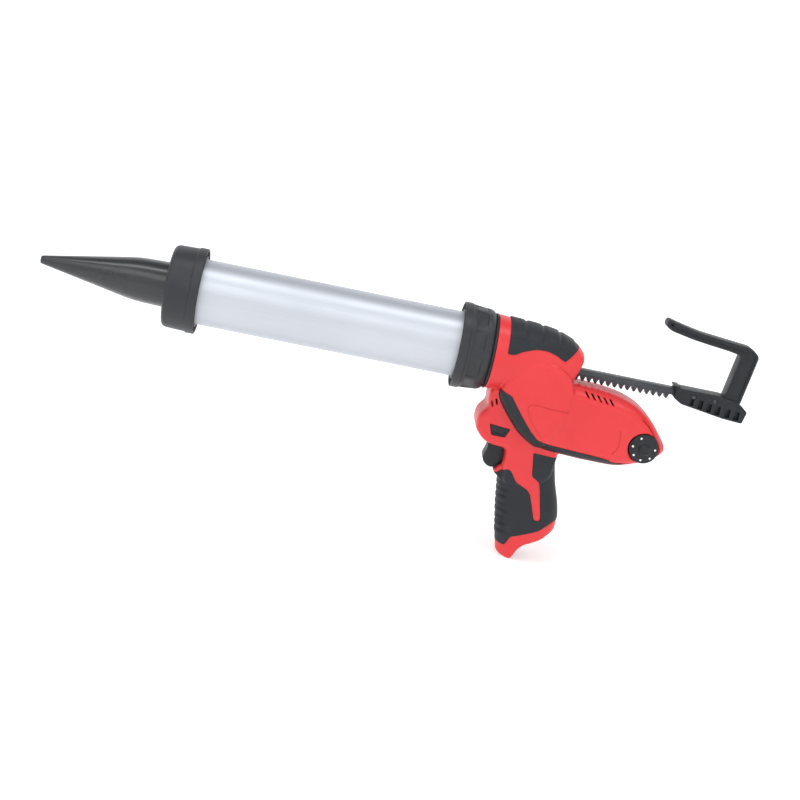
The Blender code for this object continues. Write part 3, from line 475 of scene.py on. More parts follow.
RED_SHELL = Finish("red_moulded_shell", (0.66, 0.023, 0.027), (0.60, 0.017, 0.021), (0.34, 0.44), bump=0.012)
SOFT_GRIP = Finish("soft_grip_rubber", (0.011, 0.0135, 0.017), (0.017, 0.020, 0.025), (0.50, 0.64), bump=0.03,
                   grain=(1100, 1100, 1100), specular=0.3)
TRIM = Finish("dark_trim_plastic", (0.0075, 0.009, 0.0115), (0.012, 0.014, 0.018), (0.40, 0.52), specular=0.35)
COLLAR = Finish("collar_plastic", (0.009, 0.011, 0.014), (0.014, 0.0165, 0.021), (0.42, 0.54), bump=0.018)
SPOUT = Finish("nozzle_plastic", (0.008, 0.009, 0.011), (0.012, 0.013, 0.016), (0.26, 0.33), grain=(60, 900, 900),
               bump=0.006, coat=0.3)
TUBE = Finish("drawn_aluminium", (0.53, 0.555, 0.60), (0.49, 0.515, 0.56), (0.42, 0.50), 0.85,
              grain=(12, 1400, 1400), bump=0.004, drift=9)
HANDLE = Finish("handle_plastic", (0.006, 0.008, 0.0105), (0.010, 0.0125, 0.016), (0.42, 0.55), bump=0.018,
                specular=0.35)
RACK_STEEL = Finish("blackened_steel", (0.030, 0.034, 0.039), (0.060, 0.066, 0.074), (0.38, 0.52), 0.4,
                    grain=(90, 1500, 1500), bump=0.008, drift=60)
BRIGHT_STEEL = Finish("cut_steel", (0.50, 0.50, 0.51), (0.36, 0.36, 0.38), (0.25, 0.42), 1.0,
                      grain=(700, 700, 700), bump=0.008, drift=120)
DARK_STEEL = Finish("dark_steel", (0.06, 0.062, 0.066), (0.10, 0.10, 0.11), (0.38, 0.55), 0.7, bump=0.01, drift=90)
BRASS = Finish("sintered_brass", (0.62, 0.42, 0.16), (0.46, 0.30, 0.12), (0.35, 0.5), 1.0, bump=0.01, drift=150)
BOARD = Finish("circuit_board", (0.015, 0.16, 0.06), (0.03, 0.24, 0.10), (0.3, 0.45), grain=(300, 900, 300),
               bump=0.02)
SEAL = Finish("seal_rubber", (0.03, 0.03, 0.03), (0.05, 0.05, 0.05), (0.6, 0.8), bump=0.02)
DOTS = Finish("white_print", (0.86, 0.86, 0.85), (0.78, 0.78, 0.77), (0.45, 0.6), bump=0.004)


def fit(
    obj: bpy.types.Object, body: str, finish: Finish, nodes: Sequence[str] = (), smooth: float = 35
) -> bpy.types.Object:
    """Dresses a piece, and ties it to its body and to the solids it stands for.

    Args:
        obj: The finished mesh.
        body: The body it moves with.
        finish: Its material.
        nodes: The solids it replaces.
        smooth: The sharpest edge that is shaded smooth, in degrees.

    Returns:
        The piece.
    """
    obj.data.materials.clear()
    obj.data.materials.append(finish.material())
    Bench.pick(obj)
    bpy.ops.object.shade_smooth_by_angle(angle=math.radians(smooth))
    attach(obj, body)
    if nodes:
        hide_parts(*nodes)
    log.info("%-22s %7d faces, on %s", obj.name, len(obj.data.polygons), body)
    return obj


def blended(rows: Sequence[Sequence[float]], steps: int) -> list[tuple[float, ...]]:
    """Rows of sizes with smooth steps put between them."""
    result: list[tuple[float, ...]] = []
    last = len(rows) - 1
    for i in range(last):
        a, b, c, d = (np.array(rows[min(max(i + k, 0), last)]) for k in (-1, 0, 1, 2))
        for k in range(steps):
            t = k / steps
            row = 0.5 * (2 * b + (c - a) * t + (2 * a - 5 * b + 4 * c - d) * t * t + (3 * b - a - 3 * c + d) * t**3)
            result.append(tuple(row))
    result.append(tuple(rows[last]))
    return result


# ---- Barrel, collars and spout ---------------------------------------------------------------------
@dataclass
class Spout:
    """The tapered nozzle; the seal behind it keeps its solid."""

    tip: float = -375.0
    tip_radius: float = 3.3
    base: float = -297.0
    base_radius: float = 17.8
    steps: int = 96

    def build(self) -> None:
        """Turns the nozzle with a rounded lip, a slight swell at its foot and a flange."""
        outer = [(self.tip + 0.25, 2.55), (self.tip, 2.8), (self.tip + 0.1, 3.1), (self.tip + 0.5, self.tip_radius)]
        outer += [(self.tip + 2.5, 3.75), (-336.0, 10.55), (-306.0, 16.2), (-301.5, 16.95)]
        outer += [(self.base, self.base_radius - 0.25)]
        outer += [(-293.0, 17.95), (-288.0, 18.2), (-278, 18.5), (-268.5, 18.75), (-267.0, 18.8), (-265.6, 18.8)]
        outer += [(-265.6, 24.7), (-265.3, 25.0), (-262.5, 25.0), (-262.2, 24.7)]
        inner = [(-262.2, 16.3), (-262.6, 16.0), (-297.0, 15.2), (-340.0, 8.3), (self.tip + 0.3, 2.4)]
        nozzle = Bench.turned("nozzle_cone", outer + inner, self.steps)
        fit(nozzle, "spout", SPOUT, ["nozzle"], 24)


@dataclass
class Collar:
    """A threaded ring whose rim has pockets moulded into it.

    Attributes:
        name: The ring's name, which is also its solid's.
        body: The body that it is.
        profile: Its outer and inner outline as (x, radius) corners.
        rim: The rim's face, and the place where its pockets end.
        pocket: The pockets' inner and outer radius.
        ribs: How many ribs part the pockets.
        panels: How many grip panels stand round it.
        panel: The grip panels' start and end along the axis, and their surface's radius there.
    """

    name: str
    body: str
    profile: Outline
    rim: Point
    pocket: Point
    ribs: int = 24
    panels: int = 10
    panel: tuple[float, float, float] = (-263.5, -252.5, 34.2)
    panel_lift: float = 0.55
    steps: int = 144

    def ribs_in_rim(self) -> bpy.types.Object:
        """Thin walls across the groove in the rim's face."""
        low, high = self.pocket
        face, back = self.rim
        toward = 0.5 if back > face else -0.5
        start, end = sorted((face + toward, back + toward))
        outline = [(-0.6, low - 0.4), (0.6, low - 0.4), (0.75, high + 0.4), (-0.75, high + 0.4)]
        rib = Bench.slab(f"{self.name}_rib", outline, start, end, Axis.X)
        Bench.rounded_edges(rib, 0.2, 1)
        return Bench.around(f"{self.name}_ribs", rib, self.ribs, at(0, 0, 0), "X")

    def panel_cutters(self) -> bpy.types.Object:
        """Shallow sunk panels round the side, for the fingers."""
        start, end, radius = self.panel
        half = radius * math.tau / self.panels * 0.5 - 1.6
        outline = eased([(-half, -0.9), (half, -0.9), (half, 3), (-half, 3)], 0.5, 2)
        shape = [(a, radius + b + self.panel_lift - a * a / (2 * radius)) for a, b in outline]
        cutter = Bench.slab(f"{self.name}_panel", shape, start, end, Axis.X)
        return Bench.around(f"{self.name}_panels", cutter, self.panels, at(0, 0, 0), "X")

    def build(self) -> None:
        """Turns the ring, sinks its panels and walls off its pockets."""
        ring = Bench.turned(f"{self.name}_ring", self.profile, self.steps)
        if self.panels:
            Bench.work(ring, self.panel_cutters(), Join.CUT)
        whole = Bench.joined(f"{self.name}_ring", [ring, self.ribs_in_rim()])
        fit(whole, self.body, COLLAR, [self.name], 28)


@dataclass
class Barrel:
    """The drawn tube and both of its collars."""

    radius: float = 27.0
    bore: float = 25.5
    front: float = -258.6
    rear: float = -14.5

    def tube(self) -> None:
        """Turns the tube with broken edges."""
        outer = [(self.front, 25.8), (self.front, 26.7), (self.front + 0.3, self.radius)]
        outer += [(self.rear - 0.3, self.radius), (self.rear, 26.7), (self.rear, 25.8)]
        inner = [(self.rear - 0.3, self.bore), (self.front + 0.3, self.bore)]
        obj = Bench.turned("drawn_tube", outer + inner, 160)
        fit(obj, "barrel", TUBE, ["barrel_tube"], 25)

    def front_collar(self) -> Collar:
        """The collar that holds the nozzle on."""
        outer = [(-270, 30.4), (-269.9, 31.0), (-269.5, 32.0), (-268.7, 33.0), (-267.5, 33.6), (-266, 34.0)]
        outer += [(-250.4, 34.5), (-250.1, 34.7), (-249.8, 35.15), (-249.4, 35.3), (-243.4, 35.3), (-243.0, 35.0)]
        pocket = [(-243.0, 33.9), (-243.3, 33.6), (-249, 33.5), (-249, 29.3), (-243.3, 29.2), (-243, 29.0)]
        bore = [(-243.0, 27.7), (-243.3, 27.4), (-265.9, 27.7), (-266.3, 19.2), (-269.7, 19.2), (-270, 19.5)]
        return Collar("front_collar", "front_ring", outer + pocket + bore, (-243, -249), (29.2, 33.7), panels=0)

    def rear_collar(self) -> Collar:
        """The collar that screws onto the housing's spigot."""
        outer = [(-29, 35.2), (-28.7, 35.5), (-23.0, 35.5), (-22.5, 35.35), (-22.1, 34.95), (-21.6, 34.85)]
        outer += [(-7, 33.6), (-5.4, 33.1), (-3.8, 32.0), (-2.7, 30.9), (-2.4, 30.2)]
        socket = [(-2.4, 29.9), (-2.7, 29.7), (-18, 29.7), (-18, 27.4), (-28.7, 27.4), (-29, 27.7)]
        pocket = [(-29, 29.0), (-28.7, 29.3), (-23, 29.3), (-23, 33.7), (-28.7, 33.9), (-29, 34.1)]
        return Collar(
            "rear_collar", "rear_ring", outer + socket + pocket, (-29, -23), (29.2, 33.8), panel=(-19.5, -9.5, 34.2)
        )

    def build(self) -> None:
        """Makes the tube and its collars."""
        self.tube()
        self.front_collar().build()
        self.rear_collar().build()


# ---- Push rod --------------------------------------------------------------------------------------
@dataclass
class PushRod:
    """The toothed bar and the hooked handle at its end."""

    module: float = 1.75
    top: float = 0.3
    tip: float = -9.3
    half_width: float = 4.5
    front: float = -151.7
    rear: float = 204.0
    drive: float = 43.0
    ahead: int = 27
    behind: int = 19
    pins: tuple[float, float] = (172.0, 190.0)
    pin_height: float = -3.0
    base: Outline = field(default_factory=lambda: [
        (158, 2), (196, 2), (211.4, -1.5), (218.8, -7), (216.5, -17.2), (200, -16.2), (163, -10.9), (155.5, -6.7),
        (156, 2),
    ])
    hook: Outline = field(default_factory=lambda: [
        (197, -1), (202.2, 38.5), (190.4, 40.4), (172.7, 42.2), (159.4, 43.8), (140.8, 47.3), (135.4, 50.2),
        (136.6, 56.4), (147.7, 53.6), (165.7, 50.2), (187.5, 48.1), (209.5, 46.2), (217.1, 40.5), (211.4, -3),
    ])
    rise: float = 7.2
    pockets: tuple[tuple[float, float, float], ...] = (
        (169.6, 172.8, -10.6), (177.0, 180.8, -11.8), (184.4, 188.4, -12.9), (192.0, 196.2, -13.9),
        (200.4, 204.8, -14.6), (208.4, 212.8, -15.2),
    )

    def rack(self) -> None:
        """Cuts the teeth as one outline, extrudes it and breaks its edges."""
        pitch, slope = math.pi * self.module, math.tan(math.radians(20))
        root = self.tip + self.module * 2.25
        half_tip = (pitch * 0.46 - 2 * self.module * slope) / 2
        half_root = (pitch * 0.46 + 2.5 * self.module * slope) / 2
        outline = [(self.front, self.top), (self.front, root)]
        for tooth in range(-self.ahead, self.behind + 1):
            x = self.drive + (tooth + 0.5) * pitch
            outline += [(x - half_root, root), (x - half_tip, self.tip)]
            outline += [(x + half_tip, self.tip), (x + half_root, root)]
        outline += [(self.rear, root), (self.rear, self.top)]
        bar = Bench.slab("rack_bar", outline, -self.half_width, self.half_width)
        Bench.rounded_edges(bar, 0.35, 2, 50)
        for x in self.pins:
            hole = Bench.rod("pin_hole", 1.9, (-12, 12), 24, (x, self.pin_height))
            Bench.work(bar, hole, Join.CUT, quick=True)
        fit(bar, "ram", RACK_STEEL, ["rack"], 30)

    def handle(self) -> None:
        """Shapes the hook and its base, then cuts the rack's channel, the pockets and the tip's hole."""
        arm = Bench.slab("handle_arm", eased(self.hook, 3.0, 5), -8, 8)
        Bench.rounded_edges(arm, 1.7, 4, 60)
        for side in (-1, 1):
            inner = shrunk(self.hook, 2.9)
            low, high = sorted((side * 7.2, side * 12.0))
            Bench.work(arm, Bench.slab("arm_panel", eased(inner, 1.2, 3), low, high), Join.CUT, quick=True)
        foot = Bench.slab("handle_foot", eased(self.base, 1.6, 4), -9, 9)
        Bench.rounded_edges(foot, 0.9, 3, 60)
        Bench.work(arm, foot, Join.ADD, quick=True)
        low, high = -7.85, 0.6
        channel = [(150, low), (self.rear + 0.3, low), (self.rear + 0.3, high), (150, high)]
        Bench.work(arm, Bench.slab("channel", channel, -4.8, 4.8), Join.CUT, quick=True)
        for start, end, floor in self.pockets:
            roof = floor + self.rise
            outline = eased([(start, floor), (end, floor), (end, roof), (start, roof)], 0.7, 2)
            for side in (-1, 1):
                near, far = sorted((side * 5.4, side * 12.0))
                Bench.work(arm, Bench.slab("pocket", outline, near, far), Join.CUT, quick=True)
        for x in self.pins:
            hole = Bench.rod("pin_hole", 1.9, (-12, 12), 24, (x, self.pin_height))
            Bench.work(arm, hole, Join.CUT, quick=True)
        hole = Bench.rod("tip_hole", 1.25, (-12, 12), 20, (139.8, 52.6))
        Bench.work(arm, hole, Join.CUT, quick=True)
        lip = [(154.6, 3.4), (159.6, 3.1), (159.2, 1.4), (154.9, 1.4)]
        ridge = Bench.slab("front_lip", eased(lip, 0.6, 3), -8.2, 8.2)
        Bench.work(arm, Bench.rounded_edges(ridge, 0.4, 2, 60), Join.ADD, quick=True)
        step = [(128, 40), (138.2, 51.2), (139.4, 50.0), (141.6, 49.4), (146, 40)]
        Bench.work(arm, Bench.slab("tip_step", step, -3.4, 3.4), Join.CUT, quick=True)
        arm.name = arm.data.name = "hooked_handle"
        fit(arm, "ram", HANDLE, ["pull_handle"], 30)

    def build(self) -> None:
        """Makes the bar and its handle."""
        self.rack()
        self.handle()


# ---- Housing ---------------------------------------------------------------------------------------
@dataclass
class Shape:
    """One lobe of the housing: a side outline whose edge pulls in towards both sides.

    Attributes:
        outline: Its (x, z) corners.
        levels: (half width, inset) rows from the middle out.
        ease: How far its corners are rounded.
    """

    outline: Outline
    levels: list[Point]
    ease: float = 3.0

    def build(self, name: str, extra: float) -> bpy.types.Object:
        """The lobe as a closed body, made smaller by extra all round."""
        rows = [(y - extra, inset + extra) for y, inset in blended(self.levels, 3)]
        both = [(-y, inset) for y, inset in reversed(rows)] + rows
        sections = []
        for y, inset in both:
            edge = eased(shrunk(self.outline, inset), self.ease)
            sections.append([(x, y, z) for x, z in edge])
        return Bench.skinned(name, sections)


@dataclass
class Housing:
    """The red clamshell: two halves, with the rubber and trim laid into them."""

    voxel: float = 0.8
    wall: float = 3.1
    pad: float = 1.6
    gap: float = 0.3
    proud: float = 0.35
    parting: float = 0.12
    pod: Shape = field(default_factory=lambda: Shape(
        [(30, -45), (41.8, -64), (50.6, -69.2), (60, -71), (88, -72.4), (115, -72.6), (124, -71.2), (137, -66.8),
         (149, -60.6), (156, -54.5), (158, -48.5), (151.5, -40.2), (143, -29.8), (131.5, -21.2), (120.5, -16.6),
         (111, -14.2), (98, -12.4), (72, -11), (55, -9), (36, -20)],
        [(12, 0.0), (17, 0.8), (21, 2.6), (24, 5.0), (26, 7.7), (27, 10.8)], 6.0))
    dome: Shape = field(default_factory=lambda: Shape(
        arc((42.8, -25.5), 31.0, 175, -25, 36)
        + [(70, -45), (62, -62), (52, -68), (42.4, -63.5), (33.9, -57.7), (24.8, -48.2), (15.8, -37.4), (11.6, -30)],
        [(21, 0.0), (24.4, 0.5), (26.8, 1.6), (28.1, 3.2), (28.6, 5.2)], 3.0))
    neck: Shape = field(default_factory=lambda: Shape(
        [(5, -26), (4.3, -36), (5.4, -43.4), (-0.4, -51), (-1.2, -57), (-0.4, -63.4), (6.4, -71), (12.6, -74.2),
         (27.4, -75.6), (28.6, -80), (28.4, -90), (32, -104), (52, -112), (70, -92), (71, -78), (74, -50), (50, -20)],
        [(14, 0.0), (17.4, 0.7), (19.4, 2.0), (20.5, 4.0)], 3.0))
    guard: Shape = field(default_factory=lambda: Shape(
        [(27, -91), (24.4, -94.9), (22.4, -97.8), (25, -100), (31, -105), (38, -102), (34, -91)],
        [(9, 0.0), (11.6, 0.5), (12.5, 1.5)], 1.4))
    grip: tuple[tuple[float, float, float, float], ...] = (
        (-66, 24, 76, 18.5), (-76, 26, 72.0, 18.5), (-98, 28.2, 76.6, 18.6), (-115, 30.6, 82.4, 19.2),
        (-128, 32.6, 85.4, 19.4), (-140, 35.0, 85.4, 19.2), (-152, 37.2, 82.8, 18.8), (-176, 42.0, 76.0, 18.4),
    )
    foot: tuple[tuple[float, float], ...] = ((-154, 0.0), (-162, 0.6), (-168, 1.7), (-176, 3.6))
    underside: Outline = field(default_factory=lambda: [
        (20, -180), (20, -164.5), (37.6, -166.4), (45, -168.8), (52.8, -170), (56.6, -160), (60.4, -155),
        (74, -148.2), (82.2, -141.2), (92, -131), (92, -180)])
    head: tuple[tuple[float, float, float, float], ...] = (
        (0.0, 31.0, 31.0, -31.0), (6.0, 31.0, 30.6, -31.0), (14.0, 30.4, 29.8, -30.8), (30.0, 28.6, 28.8, -30.0),
        (48.0, 26.0, 26.6, -27.0), (60.0, 22.8, 23.0, -21.0), (70.0, 19.0, 18.6, -14.0), (75.0, 16.0, 13.8, -10.0),
    )
    top_pad: Outline = field(default_factory=lambda: [
        (9.5, 40), (10.2, 5.8), (16.5, 6.2), (22, 9.8), (33, 13.4), (42, 13.6), (50, 11.4), (58.5, 7.2),
        (70.5, 20.5), (78, 40)])
    belt: Outline = field(default_factory=lambda: [
        (6, -24), (9.8, -24.2), (15.4, -26.0), (21.8, -28.4), (26.2, -34.2), (34.4, -44.4), (42.2, -53.2),
        (49.6, -60), (60, -62.8), (104, -65), (112, -65.9), (114, -67.4), (125.6, -67.9), (129.4, -70.4),
        (126, -80), (50, -80), (20, -60), (-5, -30)])
    belt_inner: float = 21.2
    grip_pad: Outline = field(default_factory=lambda: [
        (50.8, -73.5), (54.2, -93.5), (61.1, -97.6), (62.9, -101.6), (69.6, -129.6), (68, -131.3), (64.2, -131),
        (56.3, -110), (52.8, -106), (42.3, -101.4), (36, -92.6), (32.3, -91.4), (29, -95), (24, -99), (15, -99),
        (25, -150), (37, -158.6), (45.2, -158.4), (48.4, -149.6), (70, -140.2), (80, -132), (100, -120),
        (100, -76.6), (72, -74.6)])
    screws: tuple[tuple[float, float, float], ...] = (
        (13, 21, 12), (66, 12.5, 8), (96, -18.5, 15), (138, -33, 15), (99, -67, 15), (63, -84, 11), (76.5, -118, 8),
    )
    vents: int = 5
    vent_pitch: float = 5.3
    neck_slots: tuple[Point, ...] = ((6.4, -37.0), (9.6, -34.6))
    dial: Point = (138.1, -50.7)
    trigger_half: float = 9.1
    trigger_gate: Outline = field(default_factory=lambda: [
        (-4, -72.1), (29, -72.1), (37, -74), (37, -97.2), (30, -97.9), (-4, -97.9)])
    lock: Outline = field(default_factory=lambda: [(11, -57), (26.4, -58.4), (24, -64.6), (13.4, -64.6)])
    grooves: tuple[tuple[Point, ...], ...] = (
        ((69.5, -32.5), (60, -32.4), (50, -32.0), (41.5, -31.4), (37.2, -33.2), (36.6, -36.5), (39.2, -41.5),
         (43.7, -48.0), (48.0, -53.2), (52.6, -57.6)),
        ((115.2, -39.4), (116.4, -45), (116.8, -51.5), (115.6, -56), (112.8, -59.6)),
        ((131.5, -27.0), (139.5, -33.2), (147.0, -42.4), (151.6, -50.4), (150.4, -58.6), (145.4, -64.0), (137, -66.4),
         (121, -67.2)),
    )

    def rounded(self, half_a: float, half_b: float, power: float, count: int = 48) -> list[Point]:
        """A rounded section about (0, 0): a power of 2 is an ellipse, and more makes it squarer."""
        section = []
        for i in range(count):
            c, s = math.cos(i * math.tau / count), math.sin(i * math.tau / count)
            a = math.copysign(abs(c) ** (2 / power), c) * half_a
            section.append((a, math.copysign(abs(s) ** (2 / power), s) * half_b))
        return section

    def head_body(self, extra: float) -> bpy.types.Object:
        """The round head behind the barrel, narrowing towards the rod's exit."""
        sections = []
        rows = blended(self.head if extra == 0 else self.head[1:], 3)
        for place, half_width, top, bottom in rows:
            x = min(place, 75 - extra)
            middle, half = (top + bottom) / 2, (top - bottom) / 2
            section = self.rounded(half_width - extra, half - extra, 2 + place / 75 * 0.8, 64)
            sections.append([(x, y, middle + z) for y, z in section])
        head = Bench.skinned("head", sections)
        slant = [(77.5 - extra, 16), (70.5 - extra, -4.5), (70.5 - extra, -40), (120, -40), (120, 16)]
        return Bench.work(head, Bench.slab("slant", slant, -60, 60), Join.CUT)

    def grip_body(self, extra: float) -> bpy.types.Object:
        """The grip, fuller towards its heel."""
        sections = []
        for height, front, rear, half_width in blended(self.grip, 4):
            if extra < 1:
                half_width -= float(np.interp(-height, [-a for a, _ in self.foot], [b for _, b in self.foot]))
            section = self.rounded((rear - front) / 2 - extra, half_width - extra, 2.5)
            sections.append([((front + rear) / 2 + x, y, height) for x, y in section])
        return Bench.skinned("grip", sections)

    def blank(self, name: str, extra: float, voxel: float, smooth: int = 6) -> bpy.types.Object:
        """The whole housing as one fine, closed skin.

        Args:
            name: The object's name.
            extra: How much smaller it is all round; above zero its foot stays open.
            voxel: Size of the skin's faces, in millimetres.
            smooth: Rounds of smoothing.

        Returns:
            The body.
        """
        pieces = [
            self.pod.build("pod", extra), self.dome.build("dome", extra), self.neck.build("neck", extra),
            self.head_body(extra),
        ]
        grip = self.grip_body(extra)
        if extra < 1:
            Bench.work(grip, Bench.slab("underside", eased(shrunk(self.underside, -extra), 2), -40, 40), Join.CUT)
            pieces.append(self.guard.build("guard", extra))
        body = Bench.joined(name, [*pieces, grip])
        Bench.apply(body, "REMESH", mode="VOXEL", voxel_size=voxel * MM)
        Bench.apply(body, "SMOOTH", factor=0.5, iterations=smooth)
        return body

    def ribbon(self, line: Sequence[Point], width: float) -> Outline:
        """A closed outline that follows an open line at this width."""
        points = [Vector((a, b)) for a, b in blended(line, 4)]
        left, right = [], []
        for i, point in enumerate(points):
            along = points[min(i + 1, len(points) - 1)] - points[max(i - 1, 0)]
            across = along.normalized().orthogonal() * width / 2
            left.append(tuple(point + across))
            right.append(tuple(point - across))
        return left + right[::-1]

    def pad_relief(self, name: str) -> Callable[[np.ndarray, np.ndarray], np.ndarray]:
        """How far a pad's surface stands proud of the shell, with its steps and ribs."""
        def top(points: np.ndarray, normals: np.ndarray) -> np.ndarray:
            x, z = points[:, 0], points[:, 2]
            wave = np.zeros(len(points))
            for middle in (16.0, 30.5, 45.0, 59.5):
                wave = np.maximum(wave, settle(-np.abs(x - middle), -7.4, -4.6))
            upper = settle(z, 17.0, 19.5)
            return self.proud + upper * (1.15 * wave - 0.2)

        def grip(points: np.ndarray, normals: np.ndarray) -> np.ndarray:
            z = points[:, 2]
            groove = np.zeros(len(points))
            for i in range(7):
                groove = np.maximum(groove, settle(-np.abs(z + 111.0 + 6.0 * i), -1.7, -0.5))
            front = settle(-normals[:, 0], 0.35, 0.75)
            return self.proud + front * (0.75 - 1.5 * groove) * settle(-z, 104, 108) * settle(z, -154, -150)

        return {"top_pad": top, "grip_pad": grip}.get(name, lambda points, normals: np.full(len(points), self.proud))

    def overlay(
        self, skin: bpy.types.Object, core: bpy.types.Object, name: str, outline: Outline, inner: float
    ) -> None:
        """One pair of pads, each a piece of the swelled skin over the shrunken core."""
        edge = eased(outline, 1.6, 4)
        pad = Bench.swelled(skin, f"{name}_skin", self.pad_relief(name))
        Bench.work(pad, Bench.slab("edge", edge, inner, 60), Join.KEEP, quick=True)
        Bench.work(pad, core, Join.CUT, quick=True, keep=True)
        flip = Matrix.Diagonal((1, -1, 1, 1))
        twin = Bench.copied(pad, f"{name}_skin_left", flip)
        pad.name = pad.data.name = f"{name}_skin_right"
        if name != "belt":
            Bench.work(pad, self.screw_wells(), Join.CUT, quick=True)
        look, slot = (TRIM, "black_plastic") if name == "belt" else (SOFT_GRIP, "grey_rubber")
        fit(pad, "body", look, [f"{name}_right"], 40)
        fit(twin, "body", look, [f"{name}_left"], 40)

    def screw_wells(self) -> bpy.types.Object:
        """The stepped holes for the screws, in from the right side."""
        wells = []
        for x, z, seat in self.screws:
            profile = [(-2, 0), (-2, 1.8), (seat, 1.8), (seat, 3.5), (60, 3.5), (60, 0)]
            wells.append(Bench.turned("well", profile, 32, Axis.Y, (x, z)))
        return Bench.joined("wells", wells)

    def bosses(self, side: Side, limit: bpy.types.Object) -> bpy.types.Object:
        """The columns that the screws pass through, cut off inside the wall."""
        columns = []
        for x, z, seat in self.screws:
            if side is Side.LEFT:
                profile = [(-60, 0), (-60, 3.2), (-self.parting, 3.2), (-self.parting, 0)]
            else:
                profile = [(self.parting, 0), (self.parting, 3.2), (seat - 2, 3.2), (seat - 2, 4.7)]
                profile += [(60, 4.7), (60, 0)]
            columns.append(Bench.turned("boss", profile, 32, Axis.Y, (x, z)))
        return Bench.work(Bench.joined("bosses", columns), limit, Join.KEEP, quick=True, keep=True)

    def openings(self) -> bpy.types.Object:
        """What is cut out of both halves: mouth, rod slot, trigger gate, lock hole, vents and neck slots."""
        mouth = Bench.turned("mouth", [(-2, 0), (-2, 26.3), (9.5, 26.3), (9.5, 0)], 96)
        slot = Bench.slab("slot", [(58, -10.2), (90, -10.2), (90, 1.2), (58, 1.2)], -5.4, 5.4)
        half = self.trigger_half
        gate = Bench.slab("gate", eased(self.trigger_gate, 1.5, 4), -half, half)
        hole = Bench.slab("hole", eased(shrunk(self.lock, -0.85), 1.2, 4), -40, 40)
        cuts = [mouth, slot, gate, hole]
        for side in (-1, 1):
            low, high = sorted((side * 15, side * 60))
            for i in range(self.vents):
                x, z = 79.6 + i * self.vent_pitch, -13.6 - i * 0.6
                if side > 0 and any(math.hypot(x + 2.8 - a, z - 2.2 - b) < 7 for a, b, _ in self.screws):
                    continue
                edge = [(x, z), (x + 1.9, z), (x + 5.6, z - 4.4), (x + 3.7, z - 4.4)]
                cuts.append(Bench.slab("vent", eased(edge, 0.5, 2), low, high))
            for x, z in self.neck_slots:
                edge = [(x, z), (x + 1.5, z + 0.4), (x + 3.3, z - 4.6), (x + 1.8, z - 5.0)]
                cuts.append(Bench.slab("neck_slot", eased(edge, 0.5, 2), low, high))
        return Bench.joined("openings", cuts)

    def dial_seat(self, half: bpy.types.Object, limit: bpy.types.Object) -> None:
        """A thick seat behind the dial, then the dial's stepped pocket."""
        seat = Bench.turned("seat", [(-24, 0), (-24, 14.6), (-18.2, 14.6), (-18.2, 0)], 64, Axis.Y, self.dial)
        Bench.work(seat, limit, Join.KEEP, quick=True, keep=True)
        Bench.work(half, seat, Join.ADD, quick=True)
        pocket = [(-60, 0), (-60, 13.9), (-25.4, 13.9), (-24.8, 13.1), (-21.3, 13.0), (-21.3, 3.2)]
        pocket += [(-10, 3.2), (-10, 0)]
        Bench.work(half, Bench.turned("pocket", pocket, 96, Axis.Y, self.dial), Join.CUT, quick=True)

    def build(self) -> None:
        """Makes the skin, lays the rubber into it, hollows it and parts it into two halves."""
        skin = self.blank("housing_skin", 0, self.voxel)
        core = self.blank("core", self.pad, 1.2)
        sunk = self.blank("sunk_core", self.pad + self.gap, 1.2)
        overlays = (("top_pad", self.top_pad, self.parting), ("belt", self.belt, self.belt_inner),
                    ("grip_pad", self.grip_pad, self.parting))
        for name, outline, inner in overlays:
            self.overlay(skin, core, name, outline, inner)
        body = Bench.copied(skin, "housing_body")
        for name, outline, inner in overlays:
            edge = eased(shrunk(outline, -0.15), 1.6, 4)
            spans = [(-60, 60)] if name != "belt" else [(inner - 0.15, 60), (-60, 0.15 - inner)]
            recess = Bench.joined("recess", [Bench.slab("recess", edge, *span) for span in spans])
            Bench.work(recess, sunk, Join.CUT, quick=True, keep=True)
            Bench.work(body, recess, Join.CUT, quick=True)
        lines = Bench.joined("lines", [Bench.slab("line", self.ribbon(g, 0.9), -60, 60) for g in self.grooves])
        Bench.work(lines, self.blank("under", 0.55, 1.0), Join.CUT, quick=True)
        Bench.work(body, lines, Join.CUT, quick=True)
        Bench.work(body, self.blank("cavity", self.wall, 1.6), Join.CUT, quick=True)
        Bench.work(body, self.openings(), Join.CUT, quick=True)
        limit = self.blank("limit", 2.3, 1.6)
        whole = [(-60, -200), (260, -200), (260, 60), (-60, 60)]
        for side in Side:
            low, high = sorted((side.value * self.parting, side.value * 60.0))
            half = Bench.copied(body, f"shell_{side.word}")
            Bench.work(half, Bench.slab("side", whole, low, high), Join.KEEP, quick=True)
            Bench.work(half, self.bosses(side, limit), Join.ADD, quick=True)
            if side is Side.LEFT:
                self.dial_seat(half, limit)
                shanks = [Bench.rod("shank", 1.8, (-11, 2), 32, (x, z)) for x, z, _ in self.screws]
                Bench.work(half, Bench.joined("shanks", shanks), Join.CUT, quick=True)
            else:
                Bench.work(half, self.screw_wells(), Join.CUT, quick=True)
            fit(half, "body", RED_SHELL, [f"housing_{side.word}"], 32)
        for spare in (skin, core, sunk, body, limit):
            bpy.data.objects.remove(spare)

